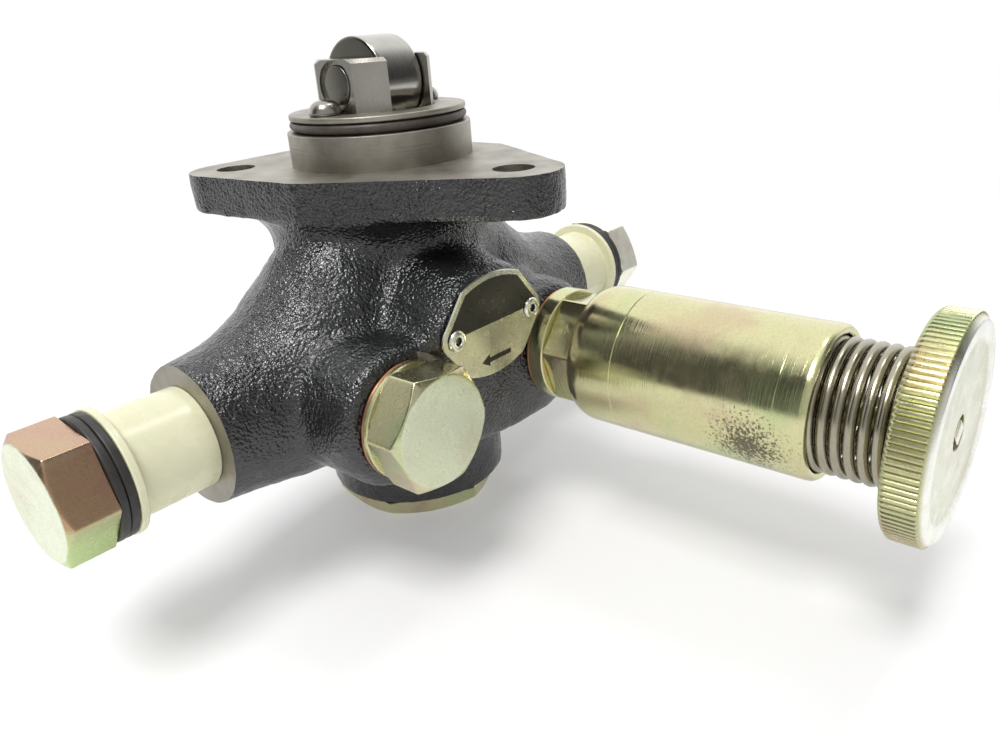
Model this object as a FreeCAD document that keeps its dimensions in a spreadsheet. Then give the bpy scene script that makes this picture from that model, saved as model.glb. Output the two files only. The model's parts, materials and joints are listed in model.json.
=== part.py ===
import FreeCAD, Part
import math
import os

import Sketcher

# Fuel lift pump with a roller tappet, two hollow bolt ports and a spring returned hand primer.
# Lengths are millimetres. The origin is the centre of the mounting flange's machined face.
# +Z is the tappet axis, out of the engine side. The port bolts lie along X, the hand primer along -Y.

Vector = FreeCAD.Vector
Rotation = FreeCAD.Rotation
Placement = FreeCAD.Placement

DIMENSIONS = {
    # Fits
    "running_fit": 0.05,
    "static_gap": 0.25,
    # Pilot boss above the mounting face
    "pilot_radius": 20.0,
    "pilot_height": 7.1,
    "groove_radius": 17.4,
    "groove_top": 9.55,
    "lip_radius": 19.2,
    "lip_top": 10.7,
    "ring_cord_radius": 0.95,
    # Mounting flange
    "flange_thickness": 8.4,
    "flange_ear_radius": 10.2,
    "flange_hole_radius": 4.2,
    "back_hole_left_x": -22.75,
    "back_hole_right_x": 18.2,
    "back_hole_y": 23.6,
    "front_hole_x": -1.3,
    "front_hole_y": -38.8,
    "flange_left_x": -30.4,
    "flange_right_x": 23.5,
    "flange_waist_y": -7.0,
    # Cast body
    "neck_radius": 24.9,
    "neck_shift": 2.3,
    "neck_straight": 24.0,
    "neck_low_z": 56.0,
    "body_low_radius": 21.5,
    "body_bottom": 77.0,
    # Port arms
    "port_y": -4.0,
    "port_z": -42.5,
    "port_left_x": -60.35,
    "port_right_x": 51.7,
    "port_boss_radius": 14.3,
    "port_bore_radius": 8.0,
    "port_bore_depth": 15.0,
    "passage_radius": 4.0,
    "drilling_radius": 2.4,
    # Valve bosses on the front
    "outlet_valve_x": -32.2,
    "inlet_valve_x": 14.1,
    "outlet_valve_z": -42.5,
    "inlet_valve_z": -41.7,
    "outlet_face": 34.4,
    "inlet_face": 36.6,
    "valve_boss_radius": 14.5,
    "valve_thread_radius": 10.0,
    "valve_thread_depth": 10.0,
    "valve_chamber_radius": 7.5,
    "valve_seat": 14.0,
    "block_face": 33.9,
    "block_bottom_z": -59.7,
    "block_left_reach": 2.0,
    "block_heel_inset": 12.0,
    "block_toe_reach": 1.0,
    "block_cheek_reach": 8.0,
    "block_low_rise": 0.9,
    "block_cheek_rise": 3.0,
    "block_top_drop": 0.8,
    "outlet_passage_entry": 12.0,
    "outlet_passage_rise": 6.0,
    "suction_entry": 3.0,
    "suction_end": 4.0,
    "pressure_entry": 5.0,
    "pressure_end_x": -5.0,
    "pressure_end_y": -2.0,
    "passage_chamber_drop": 8.0,
    # Name plate
    "plate_face": 38.0,
    "plate_x": -9.7,
    "plate_z": -29.5,
    "plate_half_length": 14.9,
    "plate_half_height": 10.6,
    "plate_thickness": 0.6,
    "plate_pad_rim": 0.9,
    "plate_pad_depth": 26.0,
    "plate_pad_spread": 1.8,
    "plate_pad_shift_x": 4.0,
    "plate_pad_shift_z": 2.0,
    "rivet_spacing": 22.9,
    "rivet_head_radius": 2.2,
    "rivet_head_height": 0.9,
    "rivet_shank_radius": 1.2,
    "rivet_bore_radius": 0.8,
    "rivet_depth": 4.0,
    # Tappet and roller
    "tappet_radius": 12.3,
    "tappet_top": 21.2,
    "tappet_bottom": 8.0,
    "tappet_flat": 10.9,
    "tappet_flat_end": 10.2,
    "tappet_stroke": 6.0,
    "slot_half_width": 5.7,
    "slot_floor": 6.0,
    "roller_radius": 9.3,
    "roller_half_width": 5.5,
    "roller_z": 16.2,
    "roller_chamfer": 0.8,
    "roller_pin_radius": 4.0,
    "pin_recess_radius": 4.9,
    "pin_recess_depth": 0.9,
    "guide_pin_x": 14.35,
    "guide_head_radius": 3.4,
    "guide_head_height": 3.1,
    "guide_shank_radius": 1.7,
    "guide_shank_length": 7.0,
    # Push rod, piston and its plug
    "push_rod_radius": 3.5,
    "piston_radius": 11.0,
    "piston_top": 48.2,
    "piston_length": 11.0,
    "piston_cup_radius": 8.3,
    "piston_cup_depth": 8.0,
    "piston_spring_radius": 6.9,
    "piston_spring_wire": 0.9,
    "piston_plug_radius": 14.8,
    "piston_plug_depth": 10.5,
    "piston_plug_recess": 8.3,
    "piston_plug_flats": 36.0,
    "piston_plug_height": 5.3,
    "piston_gasket_thickness": 1.0,
    "piston_gasket_radius": 18.0,
    # Outlet valve plug
    "plug_flats": 22.0,
    "plug_head_height": 8.5,
    "plug_gasket_radius": 11.7,
    "spot_face_gap": 0.4,
    "gasket_thickness": 1.5,
    # Valves
    "valve_disc_radius": 6.3,
    "valve_disc_height": 1.5,
    "valve_stem_radius": 1.5,
    "valve_stem_entry": 2.2,
    "valve_lift": 1.5,
    "valve_spring_radius": 3.2,
    "valve_spring_wire": 0.35,
    # Hollow port bolts with their sleeves and washers
    "bolt_radius": 7.75,
    "bolt_flats": 22.0,
    "bolt_head_height": 9.0,
    "bolt_bore_radius": 4.5,
    "bolt_cross_radius": 2.5,
    "bolt_thread": 14.0,
    "sleeve_radius": 10.2,
    "sleeve_length": 17.15,
    "sleeve_flange_radius": 12.3,
    "sleeve_flange_height": 1.5,
    "washer_radius": 12.0,
    "washer_thickness": 1.65,
    "washer_gap": 0.05,
    # Hand primer, measured outwards from its casting face
    "primer_gasket_radius": 12.2,
    "primer_collar_radius": 12.5,
    "primer_collar_end": 4.4,
    "primer_flats": 22.0,
    "primer_hex_end": 11.0,
    "barrel_radius": 14.85,
    "barrel_end": 62.4,
    "barrel_bore": 13.05,
    "barrel_floor": 22.0,
    "cylinder_outer": 9.9,
    "cylinder_bore": 8.0,
    "cylinder_end": 56.0,
    "guide_flange_height": 2.0,
    "rod_radius": 3.0,
    "rod_neck_radius": 2.2,
    "primer_piston_start": 44.0,
    "primer_piston_length": 8.0,
    "primer_stroke": 13.5,
    "primer_spring_radius": 11.85,
    "primer_spring_wire": 0.95,
    "knob_start": 76.4,
    "knob_thickness": 7.05,
    "knob_radius": 20.6,
    "knurl_depth": 0.45,
    "knob_dish_radius": 17.0,
    "knob_dish_depth": 0.5,
    "knob_socket": 4.6,
}

ARM_SECTIONS = 7
ARM = {
    "arm_start": (0.0, 10.0, 16.0, 22.0, 28.0, 35.0, 46.0),
    "arm_height": (14.3, 16.0, 17.8, 20.3, 23.2, 26.0, 27.0),
    "arm_width": (14.3, 15.5, 16.5, 17.5, 18.3, 18.8, 17.5),
    "arm_lift": (0.0, 0.3, 1.0, 2.7, 5.0, 7.0, 7.5),
}
KNURL_TEETH = 84
PRIMER_SPRING_COILS = 20.5
PISTON_SPRING_COILS = 7.0
VALVE_SPRING_COILS = 5.5
PORT_HEX_ANGLE = 24.0
OUTLET_HEX_ANGLE = 54.0
PRIMER_HEX_ANGLE = 50.0
PISTON_PLUG_HEX_ANGLE = 35.0

doc = FreeCAD.newDocument("fuel_lift_pump")
sheet = doc.addObject("Spreadsheet::Sheet", "dims")


class Size:
    """A number together with the spreadsheet expression that gives it."""

    def __init__(self, value, text):
        self.value = value
        self.text = text

    def joined(self, other, sign, value):
        other = size(other)
        return Size(value, "(" + self.text + " " + sign + " " + other.text + ")")

    def __add__(self, other):
        return self.joined(other, "+", self.value + size(other).value)

    def __radd__(self, other):
        return size(other) + self

    def __sub__(self, other):
        return self.joined(other, "-", self.value - size(other).value)

    def __rsub__(self, other):
        return size(other) - self

    def __mul__(self, other):
        return self.joined(other, "*", self.value * size(other).value)

    def __rmul__(self, other):
        return size(other) * self

    def __truediv__(self, other):
        return self.joined(other, "/", self.value / size(other).value)

    def __neg__(self):
        return size(0) - self


def size(value):
    if isinstance(value, Size):
        return value
    return Size(float(value), repr(float(value)))


def fill_sheet():
    """Writes every driving dimension in a cell of its own and returns them by name."""
    values = dict(DIMENSIONS)
    for key, numbers in ARM.items():
        for index, number in enumerate(numbers):
            values[key + "_" + chr(ord("a") + index) + "x"] = number
    named = {}
    for row, (alias, number) in enumerate(values.items(), start=1):
        sheet.set("A" + str(row), alias.replace("_", " "))
        sheet.set("B" + str(row), str(number))
        sheet.setAlias("B" + str(row), alias)
        named[alias] = Size(number, "dims." + alias)
    doc.recompute()
    return named


D = fill_sheet()


def bind(target, path, value):
    target.setExpression(path, size(value).text)


def place(target, x=0, y=0, z=0, rotation=None):
    target.Placement = Placement(
        Vector(size(x).value, size(y).value, size(z).value), rotation or Rotation()
    )
    for axis, value in (("x", x), ("y", y), ("z", z)):
        bind(target, ".Placement.Base." + axis, value)


ALONG = {
    "z": Rotation(),
    "-z": Rotation(Vector(1, 0, 0), 180),
    "-y": Rotation(Vector(1, 0, 0), 90),
    "y": Rotation(Vector(1, 0, 0), -90),
    "x": Rotation(Vector(0, 1, 0), 90),
    "-x": Rotation(Vector(0, 1, 0), -90),
}


def new_body(label, x=0, y=0, z=0, along="z"):
    body = doc.addObject("PartDesign::Body", label)
    body.Label = label
    place(body, x, y, z, ALONG[along])
    return body


def datum(body, role):
    return [item for item in body.Origin.OriginFeatures if item.Role == role][0]


def new_sketch(body, name, role, offset=None):
    sketch = body.newObject("Sketcher::SketchObject", name)
    sketch.AttachmentSupport = (datum(body, role), [""])
    sketch.MapMode = "FlatFace"
    if offset is not None:
        sketch.AttachmentOffset = Placement(Vector(0, 0, size(offset).value), Rotation())
        bind(sketch, ".AttachmentOffset.Base.z", offset)
    return sketch


def constrain(sketch, kind, geometry, vertex, value):
    """Holds one coordinate of a vertex at a signed distance from the sketch origin."""
    value = size(value)
    index = sketch.addConstraint(
        Sketcher.Constraint(kind, -1, 1, geometry, vertex, value.value)
    )
    if value.text.find("dims") >= 0:
        bind(sketch, "Constraints[" + str(index) + "]", value)


def draw_polygon(sketch, points):
    count = len(points)
    first = sketch.GeometryCount
    for index in range(count):
        start = points[index]
        end = points[(index + 1) % count]
        sketch.addGeometry(
            Part.LineSegment(
                Vector(size(start[0]).value, size(start[1]).value, 0),
                Vector(size(end[0]).value, size(end[1]).value, 0),
            ),
            False,
        )
    for index in range(count):
        sketch.addConstraint(
            Sketcher.Constraint("Coincident", first + index, 2, first + (index + 1) % count, 1)
        )
    for index in range(count):
        constrain(sketch, "DistanceX", first + index, 1, points[index][0])
        constrain(sketch, "DistanceY", first + index, 1, points[index][1])


def draw_circle(sketch, radius, x=0, y=0):
    circle = Part.Circle(
        Vector(size(x).value, size(y).value, 0), Vector(0, 0, 1), size(radius).value
    )
    index = sketch.addGeometry(circle, False)
    constrain(sketch, "DistanceX", index, 3, x)
    constrain(sketch, "DistanceY", index, 3, y)
    held = sketch.addConstraint(Sketcher.Constraint("Radius", index, size(radius).value))
    bind(sketch, "Constraints[" + str(held) + "]", radius)


def draw_ellipse(sketch, half_x, half_y, x=0):
    """An ellipse whose longer half axis lies along the sketch's x."""
    middle = Vector(size(x).value, 0, 0)
    ellipse = Part.Ellipse(
        middle + Vector(size(half_x).value, 0, 0), middle + Vector(0, size(half_y).value, 0), middle
    )
    index = sketch.addGeometry(ellipse, False)
    sketch.exposeInternalGeometry(index)
    sketch.addConstraint(Sketcher.Constraint("Horizontal", index + 1))
    constrain(sketch, "DistanceX", index, 3, x)
    constrain(sketch, "DistanceY", index, 3, 0)
    for line, half in ((index + 1, half_x), (index + 2, half_y)):
        span = size(half) * 2
        held = sketch.addConstraint(Sketcher.Constraint("Distance", line, span.value))
        bind(sketch, "Constraints[" + str(held) + "]", span)


def turn(body, name, points, cut=False):
    """Turns a closed outline of (radius, height) points about the body's own axis."""
    sketch = new_sketch(body, name + "_outline", "XZ_Plane")
    draw_polygon(sketch, points)
    kind = "PartDesign::Groove" if cut else "PartDesign::Revolution"
    feature = body.newObject(kind, name)
    feature.Profile = sketch
    feature.ReferenceAxis = (sketch, ["V_Axis"])
    feature.Angle = 360
    body.Tip = feature
    return feature


def pad(body, name, draw, start, end):
    """Pads what draw() puts in a sketch, from one height to another."""
    sketch = new_sketch(body, name + "_outline", "XY_Plane", start)
    draw(sketch)
    feature = body.newObject("PartDesign::Pad", name)
    feature.Profile = sketch
    feature.Length = (size(end) - start).value
    bind(feature, "Length", size(end) - start)
    body.Tip = feature
    return feature


def pocket(body, name, draw, start, end):
    """Cuts what draw() puts in a sketch, from one height up to a higher one."""
    sketch = new_sketch(body, name + "_outline", "XY_Plane", start)
    draw(sketch)
    feature = body.newObject("PartDesign::Pocket", name)
    feature.Profile = sketch
    feature.Reversed = True
    feature.Length = (size(end) - start).value
    bind(feature, "Length", size(end) - start)
    body.Tip = feature
    return feature


def hexagon(flats, angle):
    corner = size(flats) / math.sqrt(3.0)
    points = []
    for index in range(6):
        turned = math.radians(angle + 60.0 * index)
        points.append((corner * math.cos(turned), corner * math.sin(turned)))
    return lambda sketch: draw_polygon(sketch, points)


def hex_head(body, name, flats, angle, start, end, bevel_radius):
    """A hexagon whose outer corners are turned down to a bevel circle."""
    pad(body, name, hexagon(flats, angle), start, end)
    corner = size(flats) / math.sqrt(3.0) + 1.0
    drop = (corner - bevel_radius) * math.tan(math.radians(30.0))
    outline = [(bevel_radius, end), (corner, end), (corner, size(end) - drop)]
    turn(body, name + "_bevel", outline, cut=True)


def ring(label, inner, outer, start, end, x=0, y=0, z=0, along="z", edge=0.0):
    body = new_body(label, x, y, z, along)
    if not edge:
        turn(body, label + "_turned", [(inner, start), (outer, start), (outer, end), (inner, end)])
        return body
    outline = [
        (inner, start),
        (size(outer) - edge, start),
        (outer, size(start) + edge),
        (outer, size(end) - edge),
        (size(outer) - edge, end),
        (inner, end),
    ]
    turn(body, label + "_turned", outline)
    return body


def cylinder(label, radius, length, x=0, y=0, z=0, along="z"):
    item = doc.addObject("Part::Cylinder", label)
    item.Radius = size(radius).value
    item.Height = size(length).value
    bind(item, "Radius", radius)
    bind(item, "Height", length)
    place(item, x, y, z, ALONG[along])
    return item


def drilling(label, radius, start, end):
    """A straight drilled passage between two points."""
    first = Vector(*[size(value).value for value in start])
    last = Vector(*[size(value).value for value in end])
    item = doc.addObject("Part::Cylinder", label)
    item.Radius = size(radius).value
    bind(item, "Radius", radius)
    item.Height = (last - first).Length
    item.Placement = Placement(first, Rotation(Vector(0, 0, 1), last - first))
    return item


def fused(label, items):
    item = doc.addObject("Part::MultiFuse", label)
    item.Shapes = items
    item.Label = label
    return item


def cut(label, base, tool):
    item = doc.addObject("Part::Cut", label)
    item.Base = base
    item.Tool = tool
    item.Label = label
    return item


def grouped(label, items):
    item = doc.addObject("Part::Compound", label)
    item.Links = items
    item.Label = label
    return item


def coil(label, mean_radius, wire_radius, start, end, coils, x=0, y=0, z=0, along="z"):
    """A wire spring whose end coils are ground flat at start and end; its wire has eight sides."""
    body = new_body(label, x, y, z, along)
    length = size(end) - start
    pitch = length / coils
    sketch = new_sketch(body, label + "_wire", "XZ_Plane")
    level = size(start) - wire_radius * 0.4
    section = []
    for index in range(8):
        turned = math.radians(22.5 + 45.0 * index)
        section.append((mean_radius + wire_radius * math.cos(turned), level + wire_radius * math.sin(turned)))
    draw_polygon(sketch, section)
    helix = body.newObject("PartDesign::AdditiveHelix", label + "_coil")
    helix.Profile = sketch
    helix.ReferenceAxis = (sketch, ["V_Axis"])
    helix.Mode = 0
    helix.Pitch = pitch.value
    helix.Height = (length + wire_radius * 0.8).value
    bind(helix, "Pitch", pitch)
    bind(helix, "Height", length + wire_radius * 0.8)
    body.Tip = helix
    outer = mean_radius + wire_radius * 2
    for name, low, high in (
        ("start", size(start) - wire_radius * 3, start),
        ("end", end, size(end) + wire_radius * 3),
    ):
        outline = [(0, low), (outer, low), (outer, high), (0, high)]
        turn(body, label + "_ground_" + name, outline, cut=True)
    return body


def flange_prism(label, start, end):
    """The flange's outline, three ears joined by straight sides, between two heights."""
    body = new_body(label)
    ear = D["flange_ear_radius"]
    left, right, back = D["back_hole_left_x"], D["back_hole_right_x"], D["back_hole_y"]
    front_x, front_y = D["front_hole_x"], D["front_hole_y"]
    points = [
        (left - ear + 0.1, back),
        (D["flange_left_x"], D["flange_waist_y"]),
        (front_x - ear * 0.86, front_y - ear * 0.5),
        (front_x + ear * 0.84, front_y - ear * 0.53),
        (D["flange_right_x"], D["flange_waist_y"] - 8),
        (D["flange_right_x"], D["flange_waist_y"]),
        (right + ear - 0.1, back),
        (right, back + ear - 0.1),
        (left, back + ear - 0.1),
    ]
    pad(body, label + "_web", lambda sketch: draw_polygon(sketch, points), start, end)
    for name, x, y in (("left", left, back), ("right", right, back), ("front", front_x, front_y)):
        pad(body, label + "_ear_" + name, lambda sketch: draw_circle(sketch, ear, x, y), start, end)
    return body


def pilot_boss():
    body = new_body("pilot_boss")
    top, edge = D["pilot_height"], 0.5
    outline = [
        (0, -2),
        (D["pilot_radius"], -2),
        (D["pilot_radius"], top - edge),
        (D["pilot_radius"] - edge, top),
        (D["groove_radius"], top),
        (D["groove_radius"], D["groove_top"]),
        (D["lip_radius"], D["groove_top"]),
        (D["lip_radius"], D["lip_top"] - 0.3),
        (D["lip_radius"] - 0.3, D["lip_top"]),
        (0, D["lip_top"]),
    ]
    turn(body, "pilot_turned", outline)
    return body


def cast_neck():
    """The neck leans: its upper part stands a little to the outlet side of the tappet axis."""
    body = new_body("cast_neck")
    sections = []
    for name, level, radius, x in (
        ("bottom", -D["body_bottom"], D["body_low_radius"], 0),
        ("low", -D["neck_low_z"], D["body_low_radius"] + 1.3, -D["neck_shift"] * 0.3),
        ("high", -D["neck_straight"], D["neck_radius"], -D["neck_shift"]),
        ("top", -D["flange_thickness"] + 0.6, D["neck_radius"], -D["neck_shift"]),
    ):
        sketch = new_sketch(body, "neck_" + name, "XY_Plane", level)
        draw_circle(sketch, radius, x, 0)
        sections.append(sketch)
    loft = body.newObject("PartDesign::AdditiveLoft", "neck_loft")
    loft.Profile = sections[0]
    loft.Sections = sections[1:]
    loft.Ruled = True
    body.Tip = loft
    return body


def neck_flare():
    """The hollow curve from the neck up to the flange, kept inside the flange's outline."""
    body = new_body("neck_flare_turned", -D["neck_shift"])
    top = -D["flange_thickness"] + 0.4
    neck = D["neck_radius"]
    outline = [
        (0, top),
        (neck + 4, top),
        (neck + 2.7, top - 1.6),
        (neck + 1.0, top - 3.2),
        (neck - 0.2, top - 6.0),
        (0, top - 6.0),
    ]
    turn(body, "flare_turned", outline)
    flare = doc.addObject("Part::Common", "neck_flare")
    flare.Base = body
    flare.Tool = flange_prism("flare_limit", -D["flange_thickness"] - 8, -D["flange_thickness"] + 1)
    return flare


def port_arm(side, x, along):
    """A cast arm that swells from the round port boss into the neck, more in height than width."""
    body = new_body("port_arm_" + side, x, D["port_y"], D["port_z"], along)
    inward = -1 if along == "x" else 1
    sections = []
    for index in range(ARM_SECTIONS):
        key = "_" + chr(ord("a") + index) + "x"
        sketch = new_sketch(
            body, "arm_" + side + "_" + str(index), "XY_Plane", -D["arm_start" + key]
        )
        if index == 0:
            draw_circle(sketch, D["arm_height" + key])
        else:
            lift = D["arm_lift" + key] * inward
            draw_ellipse(sketch, D["arm_height" + key], D["arm_width" + key], lift)
        sections.append(sketch)
    loft = body.newObject("PartDesign::AdditiveLoft", "arm_" + side + "_loft")
    loft.Profile = sections[0]
    loft.Sections = sections[1:]
    loft.Ruled = False
    body.Tip = loft
    return body


def valve_block():
    """The front of the casting that joins the two valve bosses."""
    body = new_body("valve_block", along="-y")
    left, right, level = D["outlet_valve_x"], D["inlet_valve_x"], D["outlet_valve_z"]
    boss, low = D["valve_boss_radius"], D["block_bottom_z"]
    points = [
        (left - D["block_left_reach"], level - boss + D["block_low_rise"]),
        (right - D["block_heel_inset"], low),
        (right + D["block_toe_reach"], low),
        (right + D["block_cheek_reach"], level - boss + D["block_cheek_rise"]),
        (right + D["block_toe_reach"], level + boss - D["block_top_drop"]),
        (left, level + boss - D["block_top_drop"]),
    ]
    pad(body, "block_web", lambda sketch: draw_polygon(sketch, points), -1, D["block_face"])
    return body


def plate_outline(grow, x=None, z=None):
    """A shield of two bowed long edges and pointed, clipped ends."""
    half, high = D["plate_half_length"] + grow, D["plate_half_height"] + grow
    x = D["plate_x"] if x is None else x
    z = D["plate_z"] if z is None else z
    upper = [(1.0, 0.09), (0.97, 0.2), (0.9, 0.33), (0.58, 0.84), (0.3, 0.96), (0.0, 1.0)]
    points = [(x + half * a, z + high * b) for a, b in upper]
    points += [(x - half * a, z + high * b) for a, b in upper[-2::-1]]
    points += [(x - half * a, z - high * b) for a, b in upper]
    points += [(x + half * a, z - high * b) for a, b in upper[-2::-1]]
    return points


def plate_pad():
    """A raised flat under the name plate that widens back into the neck."""
    body = new_body("plate_pad", along="-y")
    front, rim = D["plate_face"], D["plate_pad_rim"]
    sections = []
    back_x = D["plate_x"] + D["plate_pad_shift_x"]
    back_z = D["plate_z"] + D["plate_pad_shift_z"]
    for name, height, grow, x, z in (
        ("front", front, rim, D["plate_x"], D["plate_z"]),
        ("back", front - D["plate_pad_depth"], rim + D["plate_pad_spread"], back_x, back_z),
    ):
        sketch = new_sketch(body, "pad_" + name, "XY_Plane", height)
        draw_polygon(sketch, plate_outline(grow, x, z))
        sections.append(sketch)
    loft = body.newObject("PartDesign::AdditiveLoft", "pad_loft")
    loft.Profile = sections[0]
    loft.Sections = sections[1:]
    loft.Ruled = True
    body.Tip = loft
    return body


def housing_drillings():
    fit = D["running_fit"]
    bottom = -D["body_bottom"]
    seat = D["valve_seat"]
    chamber_top = -D["piston_top"] + 0.7
    chamber_end = -D["piston_top"] - D["passage_chamber_drop"]
    tools = [
        cylinder(
            "tappet_bore",
            D["tappet_radius"] + fit,
            D["lip_top"] + D["tappet_bottom"] + D["tappet_stroke"] + 2,
            z=D["lip_top"] + 1,
            along="-z",
        ),
        cylinder("push_rod_bore", D["push_rod_radius"] + fit, D["piston_top"] + 2, z=-2, along="-z"),
        cylinder(
            "piston_bore", D["piston_radius"] + fit, chamber_top - bottom + 1, z=chamber_top, along="-z"
        ),
        cylinder(
            "piston_plug_bore",
            D["piston_plug_radius"] + D["static_gap"],
            D["piston_plug_depth"] + 1.5,
            z=bottom - 1,
        ),
        cylinder("flange_hole_left", D["flange_hole_radius"], D["flange_thickness"] + 2,
                 D["back_hole_left_x"], D["back_hole_y"], 1, "-z"),
        cylinder("flange_hole_right", D["flange_hole_radius"], D["flange_thickness"] + 2,
                 D["back_hole_right_x"], D["back_hole_y"], 1, "-z"),
        cylinder("flange_hole_front", D["flange_hole_radius"], D["flange_thickness"] + 2,
                 D["front_hole_x"], D["front_hole_y"], 1, "-z"),
    ]
    for side, x, along in (("left", D["port_left_x"], "x"), ("right", D["port_right_x"], "-x")):
        start = x - 1 if along == "x" else x + 1
        tools.append(cylinder("port_bore_" + side, D["port_bore_radius"], D["port_bore_depth"] + 1,
                              start, D["port_y"], D["port_z"], along))
    for side, x, z, face, reach in (
        ("outlet", D["outlet_valve_x"], D["outlet_valve_z"], D["outlet_face"],
         D["plug_flats"] / math.sqrt(3.0)),
        ("inlet", D["inlet_valve_x"], D["inlet_valve_z"], D["inlet_face"],
         D["primer_collar_radius"]),
    ):
        tools.append(cylinder(side + "_spot_face", reach + D["spot_face_gap"], 6,
                              x, -face - 6, z, "y"))
        tools.append(cylinder(side + "_thread_bore", D["valve_thread_radius"],
                              D["valve_thread_depth"] + 1, x, -face - 1, z, "y"))
        tools.append(cylinder(side + "_chamber", D["valve_chamber_radius"],
                              face - seat, x, -face, z, "y"))
        tools.append(cylinder(side + "_seat_bore", D["passage_radius"],
                              seat - 2, x, -seat, z, "y"))
    tools.append(cylinder("inlet_passage", D["passage_radius"],
                          D["port_right_x"] - D["inlet_valve_x"],
                          D["port_right_x"], D["port_y"], D["port_z"], "-x"))
    tools.append(drilling("outlet_passage", D["drilling_radius"],
                          (D["port_left_x"] + D["outlet_passage_entry"], D["port_y"], D["port_z"]),
                          (D["outlet_valve_x"], -D["valve_seat"] - D["outlet_passage_rise"],
                           D["outlet_valve_z"])))
    tools.append(drilling("suction_passage", D["drilling_radius"],
                          (D["inlet_valve_x"], -D["valve_seat"] - D["suction_entry"],
                           D["inlet_valve_z"] - D["suction_entry"]),
                          (D["suction_end"], -D["suction_end"], chamber_end)))
    tools.append(drilling("pressure_passage", D["drilling_radius"],
                          (D["outlet_valve_x"], -D["pressure_entry"], D["outlet_valve_z"] - 1),
                          (D["pressure_end_x"], D["pressure_end_y"], chamber_end)))
    for side, sign in (("left", -1), ("right", 1)):
        tools.append(cylinder("guide_pin_hole_" + side, D["guide_shank_radius"] + D["running_fit"],
                              D["guide_shank_length"] + 1.5, D["guide_pin_x"] * sign, 0,
                              D["lip_top"] + 1, "-z"))
        tools.append(cylinder("rivet_hole_" + side, D["rivet_shank_radius"] + D["running_fit"],
                              D["rivet_depth"] + 1.5, D["plate_x"] + D["rivet_spacing"] * 0.5 * sign,
                              -D["plate_face"] - 1, D["plate_z"], "y"))
    return fused("housing_drillings", tools)


def pump_housing():
    boss = D["valve_boss_radius"]
    solids = [
        flange_prism("flange_plate", -D["flange_thickness"], 0),
        pilot_boss(),
        cast_neck(),
        neck_flare(),
        port_arm("left", D["port_left_x"], "-x"),
        port_arm("right", D["port_right_x"], "x"),
        valve_block(),
        plate_pad(),
        cylinder("outlet_boss", boss, D["outlet_face"] - 3, D["outlet_valve_x"], -3, D["outlet_valve_z"], "-y"),
        cylinder("inlet_boss", boss, D["inlet_face"] - 6, D["inlet_valve_x"], -4, D["inlet_valve_z"], "-y"),
        cylinder("inlet_boss_face", D["primer_collar_radius"] + 0.3, D["inlet_face"] - 5,
                 D["inlet_valve_x"], -5, D["inlet_valve_z"], "-y"),
    ]
    casting = fused("pump_casting", solids)
    return cut("pump_housing", casting, housing_drillings())


def housing_o_ring():
    body = new_body("housing_o_ring")
    cord = D["ring_cord_radius"]
    sketch = new_sketch(body, "cord_section", "XZ_Plane")
    middle = (D["pilot_height"] + D["groove_top"]) * 0.5
    draw_circle(sketch, cord, D["groove_radius"] + cord + 0.02, middle)
    feature = body.newObject("PartDesign::Revolution", "o_ring_turned")
    feature.Profile = sketch
    feature.ReferenceAxis = (sketch, ["V_Axis"])
    feature.Angle = 360
    body.Tip = feature
    return body


def tappet_guide_pins():
    pins = []
    radius, shank = D["guide_head_radius"], D["guide_shank_radius"]
    rise = D["guide_head_height"]
    for side, sign in (("left", -1), ("right", 1)):
        body = new_body("guide_pin_" + side, D["guide_pin_x"] * sign, 0, D["lip_top"])
        outline = [
            (0, -D["guide_shank_length"]),
            (shank, -D["guide_shank_length"]),
            (shank, 0),
            (radius, 0),
            (radius, rise * 0.25),
            (radius * 0.86, rise * 0.62),
            (radius * 0.62, rise * 0.85),
            (radius * 0.3, rise * 0.97),
            (0, rise),
        ]
        turn(body, "guide_pin_turned_" + side, outline)
        pins.append(body)
    return grouped("tappet_guide_pins", pins)


def tappet_body():
    body = new_body("tappet_body")
    radius, top, bottom = D["tappet_radius"], D["tappet_top"], -D["tappet_bottom"]
    edge = 0.8
    outline = [
        (0, bottom),
        (radius - edge, bottom),
        (radius, bottom + edge),
        (radius, top - edge),
        (radius - edge, top),
        (0, top),
    ]
    turn(body, "tappet_turned", outline)
    wide, over = D["slot_half_width"], radius + 2
    slot = [(-wide, -over), (wide, -over), (wide, over), (-wide, over)]
    pocket(body, "roller_slot", lambda s: draw_polygon(s, slot), D["slot_floor"], top + 1)
    flat = D["tappet_flat"]
    for side, sign in (("left", -1), ("right", 1)):
        face = [(flat * sign, -over), (over * sign, -over), (over * sign, over), (flat * sign, over)]
        pocket(body, "guide_flat_" + side, lambda s: draw_polygon(s, face), D["tappet_flat_end"], top + 1)
    hole = cylinder("roller_pin_hole", D["roller_pin_radius"], flat * 2 + 4, -flat - 2, 0,
                    D["roller_z"], "x")
    recess = [
        cylinder("pin_recess_" + side, D["pin_recess_radius"], D["pin_recess_depth"] + 1,
                 (flat + 1) * sign, 0, D["roller_z"], along)
        for side, sign, along in (("left", -1, "x"), ("right", 1, "-x"))
    ]
    body.Label = "tappet_blank"
    return cut("tappet_body", body, fused("tappet_cross_holes", [hole] + recess))


def tappet_roller():
    half, edge = D["roller_half_width"], D["roller_chamfer"]
    return ring("tappet_roller", D["roller_pin_radius"] + D["running_fit"], D["roller_radius"],
                -half, half, 0, 0, D["roller_z"], "x", edge)


def roller_pin():
    body = new_body("roller_pin", 0, 0, D["roller_z"], "x")
    half = D["tappet_flat"] - 0.3
    radius, edge = D["roller_pin_radius"] - 0.01, 0.4
    outline = [
        (0, -half),
        (radius - edge, -half),
        (radius, edge - half),
        (radius, half - edge),
        (radius - edge, half),
        (0, half),
    ]
    turn(body, "roller_pin_turned", outline)
    return body


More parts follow.
